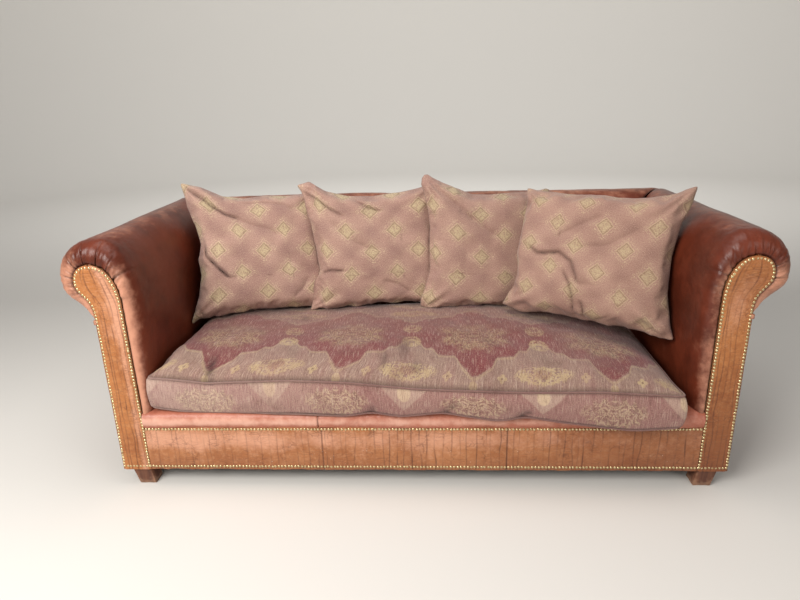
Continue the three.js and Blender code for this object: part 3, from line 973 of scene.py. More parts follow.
# %% Brass nails
NAIL_RADIUS = 0.0047
NAIL_PITCH = 0.0110
DOME_HEIGHT = 0.68
SET_UNEVENLY, TILTED = 0.0004, 0.10


def model_nail():
    bpy.ops.object.select_all(action="DESELECT")
    bpy.ops.mesh.primitive_uv_sphere_add(segments=8, ring_count=6, radius=NAIL_RADIUS)
    nail = bpy.context.object
    cut = {"plane_co": (0, 0, 0), "plane_no": (0, 0, 1), "clear_inner": True, "use_fill": True}
    on_all_faces(nail, bpy.ops.mesh.bisect, **cut)
    on_all_faces(nail, bpy.ops.transform.resize, value=(1, 1, DOME_HEIGHT))
    return nail


def nail_row(name, path, seed, *nodes):
    """Copies of the nail at even steps along a path of (x, z) points on the front plane."""
    path = np.asarray(path, float)
    run = np.concatenate([[0], np.cumsum(np.linalg.norm(np.diff(path, axis=0), axis=1))])
    count = int(round(run[-1] / NAIL_PITCH))
    at = np.linspace(0, run[-1], count + 1)
    random = np.random.default_rng(seed)
    at[1:-1] += random.normal(0, SET_UNEVENLY, count - 1)
    x, z = np.interp(at, run, path[:, 0]), np.interp(at, run, path[:, 1])
    nail = model_nail()
    copies = [nail]
    for _ in at[1:]:
        copy = nail.copy()
        copy.data = nail.data.copy()
        scene.collection.objects.link(copy)
        copies.append(copy)
    out = Matrix.Rotation(math.radians(90), 4, "X")
    for k, copy in enumerate(copies):
        tilt = Matrix.Rotation(random.normal(0, TILTED), 4, "X")
        tilt = tilt @ Matrix.Rotation(random.normal(0, TILTED), 4, "Y")
        jitter = random.normal(0, SET_UNEVENLY, 2)
        spot = Matrix.Translation((x[k] + jitter[0], FRONT - 0.0006, z[k] + jitter[1]))
        copy.data.transform(spot @ out @ tilt)
    bpy.ops.object.select_all(action="DESELECT")
    for copy in copies:
        copy.select_set(True)
    bpy.context.view_layer.objects.active = nail
    bpy.ops.object.join()
    nail.name = name
    nail.data.name = name
    shade_soft(nail, 50)
    place_piece(nail, brass, "nail_brass", *nodes)


def facing_path(side):
    """The nail line round a facing: up the inner edge, over the head and down outside."""
    line = [(903, 75), (903, 270), (903, 460), (903, 640),
            (904, 705), (925, 768), (981, 768), (1011, 768), (1029, 748), (1029, 720),
            (1029, 680), (984, 680), (984, 612), (984, 440), (986, 260), (988.5, 86)]
    points = chain(line, np.linspace(0, 5, 600)) / 1000
    points[:, 0] *= side
    return points


TOP_ROW, BOTTOM_ROW = (0.892, 0.215), (0.9885, 0.0745)
nail_paths = {
    "rail_top": [(-TOP_ROW[0], TOP_ROW[1]), TOP_ROW],
    "bottom": [(-BOTTOM_ROW[0], BOTTOM_ROW[1]), BOTTOM_ROW],
    "left_facing": facing_path(-1),
    "right_facing": facing_path(1),
}
for seed, (row_name, path) in enumerate(nail_paths.items(), 1):
    nail_row(row_name + "_nail_row", path, seed, row_name + "_nails")

# %% [markdown]
# ## Feet
# The feet are short tapered blocks. Each starts as a cube whose edges are bevelled and whose faces
# are cut finer. It is moved to the CAD foot's place with a smaller sole, and its corners are worn
# unevenly, since shoes and brooms chip them. The worn places keep a number for the finish.

# %% Feet
FOOT_TOP_X, SOLE_X = (0.905, 0.967), (0.895, 0.951)


def block_foot(name, seed):
    low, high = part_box(name)
    side = 1 if low.x > 0 else -1
    piece = new_cube(name + "_block")
    bpy.ops.object.mode_set(mode="EDIT")
    bpy.ops.mesh.select_all(action="SELECT")
    bpy.ops.mesh.bevel(offset=0.05, segments=2)
    bpy.ops.mesh.subdivide(number_cuts=3)
    bpy.ops.object.mode_set(mode="OBJECT")
    unit = points_of(piece) + 0.5
    rise = unit[:, 2]
    inner = SOLE_X[0] + (FOOT_TOP_X[0] - SOLE_X[0]) * rise
    outer = SOLE_X[1] + (FOOT_TOP_X[1] - SOLE_X[1]) * rise
    across = unit[:, 0] if side > 0 else 1 - unit[:, 0]
    x = side * (inner + (outer - inner) * across)
    pinch = 0.003 * (1 - rise)
    y = low.y + pinch + (high.y - low.y - 2 * pinch) * unit[:, 1]
    z = low.z + (high.z - low.z) * rise
    corner = (np.abs(unit - 0.5) > 0.42).sum(1) >= 2
    put_points(piece, np.stack([x, y, z], 1))
    chips = corner * 0.0016 * np.clip(unevenness(x + z, y + z, 0.012, seed, 2) + 0.3, 0, 1)
    raise_by(piece, -chips)
    put_value(piece, "wear_and_sheen", corner * 0.25 + 0.5 * (1 - rise) ** 2)
    shade_soft(piece, 40)
    place_piece(piece, foot_stain, "foot_wood", name)


for k, foot_name in enumerate(("front_left_foot", "front_right_foot", "back_left_foot", "back_right_foot")):
    block_foot(foot_name, 90 + k)

# %% [markdown]
# ## Outside panels and dust cover
# The outside of the arms and back is closed by leather panels pulled tight over the frame, which sink
# in a little between the rails and pucker at the edges. Underneath hangs a black lining.

# %% Outside panels and dust cover
PANEL_ROWS = 60


def stretched_panel(name, node, normal, columns, sink, seed, finish, slot, thickness):
    """A sheet on one outer face of a CAD board. `normal` is the axis that it faces along."""
    axis, sign = "XYZ".index(normal[1]), 1 if normal[0] == "+" else -1
    low, high = (np.array(c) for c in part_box(node))
    piece, across, along = flat_hide(name, columns, PANEL_ROWS)
    u, v = [k for k in range(3) if k != axis]
    place = np.zeros((len(across), 3))
    place[:, u] = low[u] + (high[u] - low[u]) * across
    place[:, v] = low[v] + (high[v] - low[v]) * along
    wide, tall = high[u] - low[u], high[v] - low[v]
    inset = np.minimum(from_edge(across) * wide, from_edge(along) * tall)
    run, rise = across * wide, along * tall
    dish = ease(inset / 0.12)
    pucker = 0.0012 * np.sin((run + rise) * 2 * math.pi / 0.045) * bump(inset - 0.012, 0.02)
    waves = 0.0025 * unevenness(run, rise, 0.18, seed, 2) * dish
    out = (high if sign > 0 else low)[axis]
    place[:, axis] = out - sign * (sink * dish - waves - pucker + 0.001)
    put_points(piece, place)
    if normals_of(piece)[:, axis].mean() * sign < 0:
        on_all_faces(piece, bpy.ops.mesh.flip_normals)
    put_uv(piece, run, rise)
    put_value(piece, "wear_and_sheen", 0.08 + 0.24 * unevenness(run, rise, 0.09, seed, 3))
    # Painted shade along the edges of the panel.
    put_value(piece, "crease", 0.6 * bump(inset, 0.004))
    thicken(piece, thickness, 70)
    place_piece(piece, finish, slot, node)


outside = (arm_leather, "smooth_leather", 0.003)
under = (lining, "dust_cloth", 0.001)
panels = (
    ("left_outside_hide", "left_outside_arm_panel", "-X", 90, 0.002, outside),
    ("right_outside_hide", "right_outside_arm_panel", "+X", 90, 0.002, outside),
    ("outside_back_hide", "outside_back_panel", "+Y", 200, 0.002, outside),
    ("under_lining", "dust_cover", "-Z", 120, -0.001, under),
)
for seed, (name, node, normal, columns, sink, sheet) in enumerate(panels, 1):
    stretched_panel(name, node, normal, columns, sink, seed, *sheet)


print("outside panels ready")

# %% [markdown]
# ## The seat platform
# The platform is a thin pad under the cushion. It is a cube cut into a fine net, with its upper edges
# rounded and its top left a little uneven.

# %% Seat platform
def platform_pad():
    low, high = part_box("seat_platform")
    piece = new_cube("seat_platform_pad")
    on_all_faces(piece, bpy.ops.mesh.subdivide, number_cuts=40)
    unit = points_of(piece) + 0.5
    place = np.array(low) + (np.array(high) - np.array(low)) * unit
    x, y = place[:, 0], place[:, 1]
    inset = np.minimum(from_edge(unit[:, 0]) * 1.8, from_edge(unit[:, 1]) * 0.67)
    top = ease((unit[:, 2] - 0.5) * 2)
    rounded = 0.010 * (1 - ease(inset / 0.03))
    place[:, 2] -= top * (rounded + 0.003 * (1 + unevenness(x, y, 0.2, 7)))
    put_points(piece, place)
    put_uv(piece, x, y)
    put_value(piece, "wear_and_sheen", 0.2 + 0.3 * unevenness(x, y, 0.1, 9, 2))
    shade_soft(piece, 60)
    place_piece(piece, arm_leather, "smooth_leather", "seat_platform")


platform_pad()

# %% [markdown]
# ## Tapestry
# The seat cushion is covered in a faded tapestry. Plum lozenges stand point to point in rows, each
# with a khaki leaf medallion, on a pale ground with scalloped edges and small blooms. All of it is
# drawn from the UV map in metres. Folding the map at the middle of each repeat makes every motif
# mirror itself, as a loom does, and contour lines of a noise then read as woven foliage.

# %% Motif helpers
def foliage(f, x, y, scale, seed, thick=0.05):
    """Woven scrolls: the lines where a noise crosses its middle value."""
    drawn = f.noise(f.joined(x, y, seed), scale, 1.5, 0.5, 0.6)
    return f.step(f.size(f.minus(drawn, 0.5)), thick, thick * 0.45)


def oval(f, x, y, centre_x, centre_y, wide, tall, soft=0.12):
    """1 inside an oval and 0 outside it."""
    dx = f.times(f.minus(x, centre_x), 1 / wide)
    dy = f.times(f.minus(y, centre_y), 1 / tall)
    reach = f.math("SQRT", f.add(f.times(dx, dx), f.times(dy, dy)))
    return f.step(reach, 1 + soft, 1 - soft)


def folded(f, value, centre, period):
    """Distance from the nearest repeat of `centre`."""
    turn = f.math("FRACT", f.add(f.times(f.minus(value, centre), 1 / period), 0.5))
    return f.times(f.size(f.minus(turn, 0.5)), period)


print("motif helpers ready")

# %% [markdown]
# ## The tapestry's top and border
# The top and the border show different parts of the same design, so one function paints either.
# Colours are laid one over another, from the large fields down to single threads: the motifs, then
# a painted light on the border's left end, fading, ribs, flecks and grime, and last the stains and the
# painted shade in the seams and tucks.

# %% Tapestry
REPEAT = 0.425
FIRST_MOTIF = -0.243
ROW = 0.49


def tapestry(name, border):
    f = Finish(name, Sheen_Weight=0.15, Sheen_Roughness=0.5)
    at = f.place()
    cut = f.place("UV")
    u, v, _ = f.parts(f.add_vector(cut, 0.008))
    ragged = f.times(f.minus(f.noise(cut, 85.0, 3.0, 0.7), 0.5), 0.016)
    across = folded(f, u, FIRST_MOTIF, REPEAT)
    between = f.minus(REPEAT / 2, across)
    if border:
        plum, ground, pale, dark = (134, 84, 84), (174, 144, 130), (212, 188, 152), (100, 64, 56)
        leaf = f.add(f.times(f.math("COSINE", f.times(across, 2 * math.pi / 0.03)), 0.006), v)
        medal = oval(f, across, f.add(leaf, ragged), 0.0, 0.066, 0.098, 0.042)
        reach = f.add(f.add(f.times(between, 1 / 0.078), f.times(v, 1 / 0.088)), f.times(ragged, 4.0))
        drop = f.step(reach, 1.06, 0.92)
        f.body = f.mix(f.add(0.25, f.times(drop, 0.7)), plum, ground)
        bloom = f.times(oval(f, between, v, 0.0, 0.022, 0.020, 0.030), 0.6)
        f.lay(pale, bloom)
        scroll = f.times(medal, foliage(f, across, v, 68.0, 1.0, 0.10))
        gaps = f.times(medal, foliage(f, across, v, 96.0, 12.0, 0.05))
    else:
        plum, ground, pale, dark = (114, 50, 54), (142, 114, 102), (186, 162, 120), (70, 40, 36)
        along = folded(f, v, ROW / 2, ROW)
        past = f.minus(ROW / 2, along)
        behind = f.step(v, 0.20, 0.32)
        rises = [
            (0.036, 0.000, 0.055), (0.050, 0.044, 0.072), (0.036, 0.118, 0.146),
            (0.040, 0.160, 0.190), (0.022, 0.190, 0.212),
        ]
        edge = 0.034
        for tall, start, stop in rises:
            edge = f.add(edge, f.times(f.step(across, start, stop), tall))
        edge = f.times(edge, f.add(1.0, f.times(behind, -0.35)))
        zone = f.step(f.add(f.minus(past, edge), ragged), 0.007, -0.007)
        f.body = f.mix(zone, plum, ground)
        hem = f.step(f.size(f.minus(f.minus(past, edge), -0.008)), 0.008, 0.003)
        f.lay(pale, f.times(hem, zone), 0.30)
        angle = f.math("ARCTAN2", along, across)
        petal = f.add(f.times(f.math("COSINE", f.times(angle, 8.0)), 0.010), ragged)
        medal = oval(f, f.add(across, petal), f.add(along, petal), 0.0, 0.0, 0.110, 0.092, 0.25)
        scroll = f.times(medal, foliage(f, across, along, 74.0, 5.0, 0.11))
        gaps = f.times(medal, foliage(f, across, along, 105.0, 12.0, 0.05))
        cluster = f.greater(
            oval(f, between, f.add(past, ragged), 0.0, 0.046, 0.088, 0.030),
            oval(f, between, f.add(past, ragged), 0.0, 0.196, 0.032, 0.036),
        )
        heart = oval(f, between, past, 0.0, 0.046, 0.026, 0.016)
        blooms = f.times(cluster, foliage(f, between, past, 84.0, 9.0, 0.13))
        f.lay(pale, blooms, 0.75)
        f.lay(plum, heart, 0.35)
        small_x = f.minus(across, 0.085)
        small_y = f.minus(v, 0.034)
        turn = f.size(f.math("COSINE", f.times(f.math("ARCTAN2", small_y, small_x), 2.0)))
        far = f.math("SQRT", f.add(f.times(small_x, small_x), f.times(small_y, small_y)))
        flower = f.step(f.minus(far, f.times(turn, 0.007)), 0.0105, 0.0065)
        f.lay(pale, flower, 0.7)
        f.lay(dark, f.step(far, 0.0045, 0.0025), 0.6)
        hem_spots = f.times(oval(f, across, v, 0.0, 0.010, 0.012, 0.010), 0.5)
        f.lay(pale, hem_spots)
    f.lay((146, 116, 92), medal, 0.22)
    f.lay(pale, scroll, 0.50)
    f.lay(dark, gaps, 0.60)
    if border:
        # Painted light: the border is lighter towards its left end, where the key light stands.
        painted_light_left = f.step(f.parts(at)[0], -0.1, -0.95)
        f.lay((206, 184, 170), painted_light_left, 0.35)
    else:
        f.lay((118, 68, 62), behind, 0.50)
    faded = f.step(f.noise(at, 3.4, 4.0, 0.6), 0.40, 0.72)
    f.lay(ground, faded, 0.30)
    pinkish = f.step(f.noise(f.stretched(cut, (16, 4, 1)), 1.0, 3.0), 0.42, 0.7)
    f.lay((138, 88, 88), pinkish, 0.30)
    rib = f.noise(f.stretched(cut, (300, 26, 1)), 1.0, 3.0, 0.65)
    f.lay((194, 172, 156), f.step(rib, 0.5, 0.72), 0.50)
    f.lay((84, 46, 46), f.step(rib, 0.5, 0.28), 0.50)
    fleck = f.noise(f.stretched(cut, (330, 240, 1)), 1.0, 2.0, 0.6)
    f.lay((182, 160, 128), f.step(fleck, 0.52, 0.72), 0.45)
    f.lay((84, 50, 46), f.step(fleck, 0.48, 0.30), 0.40)
    grubby = f.step(f.noise(at, 9.0, 5.0, 0.7), 0.50, 0.76)
    f.lay((92, 60, 50), grubby, 0.40)
    # Stains on the top, and painted shade in the seams and the tucks.
    f.lay((46, 24, 22), f.value("crease"), 0.85)
    thread = f.noise(f.stretched(cut, (900, 320, 1)), 1.0, 2.0)
    weave = f.height(f.add(rib, f.times(thread, 0.6)), 0.0018, 0.6)
    return f.set(Base_Color=f.body, Roughness=0.93, Normal=weave)


tapestry_top = tapestry("tapestry_top", False)
tapestry_border = tapestry("tapestry_border", True)
print(len(tapestry_top.node_tree.nodes), "nodes in the top's finish")

# %% [markdown]
# ## Pillow weave
# The pillows are a pinkish taupe weave, all over dots, with small olive-gold diamonds in staggered
# rows. Each diamond is a plain outline with a little figure inside and a dotted outline round it,
# and a mauve shadow lies half-way between the rows.

# %% Pillow weave
def pillow_weave():
    f = Finish("pillow_weave", Sheen_Weight=0.15, Sheen_Roughness=0.5)
    at = f.place()
    cut = f.place("UV")
    u, v, _ = f.parts(f.add_vector(cut, 0.006))
    wide, tall = 0.172, 0.160
    first_u, first_v = 0.04, 0.03
    taupe, khaki, pale, mauve = (174, 138, 124), (162, 146, 108), (212, 190, 156), (130, 94, 90)
    fold_u, fold_v = folded(f, u, first_u, wide), folded(f, v, first_v, tall)
    next_u = folded(f, u, first_u + wide / 2, wide)
    next_v = folded(f, v, first_v + tall / 2, tall)
    diamond = f.lesser(f.add(fold_u, fold_v), f.add(next_u, next_v))
    rough_edge = f.times(f.minus(f.noise(cut, 190.0, 2.0), 0.5), 0.008)
    diamond = f.add(diamond, rough_edge)
    speck = f.step(f.noise(f.stretched(cut, (270, 270, 1)), 1.0, 2.0), 0.46, 0.62)
    f.body = f.mix(f.step(f.noise(at, 7.0, 3.0), 0.35, 0.7), taupe, (160, 124, 112))
    spots = f.greater(
        oval(f, fold_u, next_v, 0.0, 0.0, 0.026, 0.024, 0.9),
        oval(f, next_u, fold_v, 0.0, 0.0, 0.026, 0.024, 0.9),
    )
    f.lay(mauve, spots, 0.42)
    spray = f.times(f.step(diamond, 0.075, 0.040), f.step(f.noise(cut, 60.0, 2.0), 0.40, 0.60))
    f.lay(pale, f.times(spray, speck), 0.55)
    halo = f.step(f.size(f.minus(diamond, 0.0440)), 0.0045, 0.0020)
    f.lay(pale, f.times(halo, speck), 0.60)
    core = f.step(diamond, 0.0330, 0.0290)
    f.lay(khaki, core, 0.42)
    outline = f.step(f.size(f.minus(diamond, 0.0320)), 0.0030, 0.0012)
    f.lay(pale, outline, 0.50)
    groove = f.step(f.size(f.minus(diamond, 0.0265)), 0.0024, 0.0010)
    f.lay((116, 98, 68), groove, 0.45)
    figure = f.times(f.step(diamond, 0.025, 0.020), foliage(f, u, v, 140.0, 2.0, 0.12))
    f.lay((214, 200, 156), figure, 0.45)
    thread = f.noise(f.stretched(cut, (330, 330, 1)), 1.0, 4.0, 0.75)
    f.lay((108, 76, 68), f.step(thread, 0.49, 0.64), 0.50)
    f.lay((216, 190, 168), f.step(thread, 0.49, 0.34), 0.50)
    f.lay((124, 90, 76), f.step(f.noise(at, 12.0, 4.0), 0.52, 0.8), 0.28)
    shaded_end = f.step(f.parts(at)[0], -0.2, 0.9)
    f.lay((132, 98, 78), shaded_end, 0.30)
    # Painted shade in the folds and along the seam, from the crease number.
    f.lay((64, 38, 32), f.value("crease"), 0.62)
    weave = f.height(f.add(thread, f.times(speck, 0.3)), 0.0016, 0.6)
    return f.set(Base_Color=f.body, Roughness=0.93, Normal=weave)


pillow_cloth = pillow_weave()
print(len(pillow_cloth.node_tree.nodes), "nodes in the pillow's finish")

# %% [markdown]
# ## How a cover swells
# A cushion cover is sewn a little larger than its filling, so it swells and wrinkles near its seams.
# A cloth simulation does this: pressure pushes out from inside, the cloth is let grow a little, and
# the seams are held tighter than the rest. The movement of each point is limited so that the
# cushion keeps its place.

# %% Swelling
COVER_CLOTH = {
    "quality": 4,
    "mass": 0.25,
    "tension_stiffness": 12,
    "compression_stiffness": 8,
    "shear_stiffness": 4,
    "bending_stiffness": 0.35,
}


def cut_along(piece, axis, cuts):
    """Cuts every edge that runs along one axis into equal parts."""
    select_only(piece)
    bpy.ops.object.mode_set(mode="EDIT")
    bpy.ops.mesh.select_mode(type="EDGE")
    bpy.ops.mesh.select_all(action="DESELECT")
    bpy.ops.object.mode_set(mode="OBJECT")
    points = points_of(piece)
    for edge in piece.data.edges:
        run = np.abs(points[edge.vertices[1]] - points[edge.vertices[0]])
        edge.select = bool(run[axis] > 0.9 * np.linalg.norm(run))
    bpy.ops.object.mode_set(mode="EDIT")
    bpy.ops.mesh.subdivide(number_cuts=cuts)
    bpy.ops.object.mode_set(mode="OBJECT")


def block(name, cuts):
    """A unit cube cut into a fine net, with the place of every point in it from 0 to 1."""
    piece = new_cube(name)
    piece.data.name = name
    for axis, count in enumerate(cuts):
        if count:
            cut_along(piece, axis, count)
    return piece, points_of(piece) + 0.5


def swell(piece, pressure, growth, limit, seam, frames=20):
    """Runs the cloth, then limits how far each point has moved."""
    start = points_of(piece)
    group = piece.vertex_groups.new(name="seam")
    for index, weight in enumerate(seam):
        if weight > 0.01:
            group.add([index], float(weight), "REPLACE")
    select_only(piece)
    cloth = piece.modifiers.new("swelling", "CLOTH")
    made = cloth.settings
    for key, value in COVER_CLOTH.items():
        setattr(made, key, value)
    made.use_pressure = True
    made.uniform_pressure_force = pressure
    made.effector_weights.gravity = 0
    made.vertex_group_shrink = "seam"
    made.shrink_min = -growth
    made.shrink_max = 0.0
    cloth.point_cache.frame_start = 1
    cloth.point_cache.frame_end = frames
    for step in range(1, frames + 1):
        scene.frame_set(step)
    bpy.ops.object.modifier_apply(modifier=cloth.name)
    scene.frame_set(1)
    moved = points_of(piece) - start
    far = np.linalg.norm(moved, axis=1)
    keep = limit * np.tanh(far / limit) / np.maximum(far, 1e-9)
    put_points(piece, start + moved * keep[:, None])
    piece.vertex_groups.clear()
    print(piece.name, "swelled by up to", round(float((far * keep).max()) * 1000, 1), "mm")


print("swelling helpers ready")

# %% [markdown]
# ## Folds that leaning has pressed in
# A fold is a valley along a line, deepest on the line and fading at both ends. The cloth that it
# pushed aside makes one side of it a little fuller.

# %% Pressed folds
NO_LINE = 1e9


def beside(u, v, line):
    """Distance of each point from a line of (u, v) points, and which side of it the point is on."""
    best = np.full_like(u, NO_LINE)
    side = np.zeros_like(u)
    where = np.zeros_like(u)
    total = len(line) - 1
    for k in range(total):
        (x0, y0), (x1, y1) = line[k], line[k + 1]
        dx, dy = x1 - x0, y1 - y0
        t = np.clip(((u - x0) * dx + (v - y0) * dy) / (dx * dx + dy * dy), 0, 1)
        px, py = u - x0 - t * dx, v - y0 - t * dy
        off = np.hypot(px, py)
        nearer = off < best
        best = np.where(nearer, off, best)
        side = np.where(nearer, np.sign(dx * py - dy * px), side)
        where = np.where(nearer, (k + t) / total, where)
    return best, side, where


def pressed_fold(u, v, line, deep, width, fuller, spread_far):
    """Height of one fold, and how much painted shade lies in it. The fuller side is the left of the line's
    direction.
    """
    off, side, where = beside(u, v, line)
    ends = ease(where / 0.18) * ease((1 - where) / 0.18)
    ends = np.where(off > NO_LINE / 10, 0, ends)
    valley = np.exp(-off / width) * ends
    rise = fuller * np.where(side > 0, np.exp(-off / spread_far) * (1 - np.exp(-off / width)), 0) * ends
    return rise - deep * valley, valley


print("fold helpers ready")

# %% [markdown]
# ## Keeping pieces clear of each other
# Soft pieces touch but don't pass into each other. A line is cast along one axis to the place of each
# point. If the point is past its neighbour's skin, it is moved back to where the line met the skin.

# %% Keeping clear
def skin_of(piece):
    """A search tree of a piece's faces, to find where a line from a point meets it."""
    return BVHTree.FromPolygons(
        [v.co.copy() for v in piece.data.vertices], [tuple(p.vertices) for p in piece.data.polygons]
    )


def keep_clear(points, skin, axis, sign, gap=0.002, where=None):
    """Moves points that are past a neighbour's skin back to it. The line runs along one axis."""
    far = 3.0
    way = Vector([sign if k == axis else 0.0 for k in range(3)])
    moved = 0
    for index in range(len(points)) if where is None else np.where(where)[0]:
        start = Vector(points[index])
        start[axis] -= sign * far
        hit = skin.ray_cast(start, way)[0]
        if hit is None:
            continue
        limit = hit[axis] - sign * gap
        if (points[index, axis] - limit) * sign > 0:
            points[index, axis] = limit
            moved += 1
    return moved


print("clearing helpers ready")

# %% [markdown]
# ## The seat cushion
# It is one long box cushion full of feather, so its top is crowned, its border bulges, and it has
# been sat on until it slipped forward at the right, where it hangs over the lip. A block of cloth is
# cut into a net and moved to that shape: the two seams along the front are given as lines of
# heights, because they rise and fall. The UV map is taken from the flat cut first. Then the cover is
# swelled with its seams held, dents, folds and stains are added, and the cover is kept above the lip
# and between the arms.

# %% Seat cushion's shape
SEAM_TOP = [
    (-0.87, 0.396), (-0.67, 0.377), (-0.40, 0.391), (-0.22, 0.388),
    (0.0, 0.370), (0.34, 0.362), (0.56, 0.364), (0.82, 0.345),
]
SEAM_LOW = [
    (-0.87, 0.290), (-0.67, 0.260), (-0.40, 0.274), (-0.22, 0.270), (-0.14, 0.286), (-0.05, 0.272),
    (0.08, 0.290), (0.26, 0.262), (0.34, 0.280), (0.44, 0.262), (0.67, 0.230), (0.82, 0.240),
]
SEAT_DEPTH = 0.69
BORDER = 0.11
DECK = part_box("seat_platform")[1].z + 0.0012
ARM_INSIDE = 0.8455
TUCKS = [
    ((0.088, 0.290), (0.140, 0.335)),
    ((0.322, 0.282), (0.365, 0.308)),
    ((-0.150, 0.286), (-0.120, 0.318)),
]
ARM_LEG = 0.893
CUSHION_LEFT, CUSHION_LENGTH = -0.866, 1.68


def beside_arm(y):
    """How far out the cushion may reach at each depth, where the arm's front rounds away."""
    turned = 1 - np.clip(y / ARM_FRONT_DEPTH, 0, 1)
    return np.where(y > 0, ARM_LEG - (ARM_LEG - ARM_INSIDE) * np.sqrt(1 - turned**2), ARM_LEG)


def seat_shape(unit):
    a, b, c = unit[:, 0], unit[:, 1], unit[:, 2]
    left = -0.836 - 0.038 * (1 - ease(b * SEAT_DEPTH / 0.07))
    right = 0.816 + 0.006 * np.sin(math.pi * b)
    x = left + (right - left) * a
    front_y = -0.002 - 0.050 * ease((x + 0.87) / 1.68) - 0.006 * np.sin(math.pi * a)
    y = front_y + (SEAT_DEPTH - front_y) * b
    near = 1 - ease(b * SEAT_DEPTH / 0.10)
    low = DECK + (np.interp(x, *zip(*SEAM_LOW)) - DECK) * near
    low = np.where(b > 0.12, DECK, low)
    border_front = np.interp(x, *zip(*SEAM_TOP))
    border_back = DECK + BORDER - 0.01 - 0.032 * ease((x - 0.3) / 0.5)
    high = border_front + (border_back - border_front) * ease(b / 0.5)
    high += 0.030 * bump(x + 0.86, 0.09) * ease(b * SEAT_DEPTH / 0.12)
    ends = 1 - np.abs(2 * a - 1) ** np.where(a < 0.5, 14.0, 6.0)
    depth = 1 - np.abs(2 * np.clip(b, 0, 1) - 1) ** 3.2
    crown = 0.070 * ends**0.62 * depth**0.55
    crown *= 1 - 0.10 * bump(x + 0.45, 0.2) - 0.08 * bump(x - 0.45, 0.22) + 0.04 * bump(x - 0.03, 0.2)
    top = high + crown
    z = np.where(c > 0.999, top, low + (high - low) * c)
    bulge = 4 * c * (1 - c)
    y = y - 0.010 * bulge * (b < 0.001) + 0.006 * bulge * (b > 0.999)
    x = x - 0.004 * bulge * (a < 0.001) + 0.010 * bulge * (a > 0.999)
    return np.stack([x, FRONT + y, z], 1)


print("cushion helpers ready")

# %% [markdown]
# ## The cushion's cover
# The block is laid to that shape, swelled and dented. Its top and its border take different finishes.
# The points of both seams are kept, in order round the cushion, for the piping.

# %% Seat cushion
def tucks_in_border(x, z, lines):
    """Short slanting folds that run up from the pinched places of the lower seam."""
    depth = np.zeros_like(x)
    for start, stop in lines:
        off, _, where = beside(x, z, [start, stop])
        depth += np.exp(-off / 0.006) * ease((1 - where) / 0.4)
    return depth


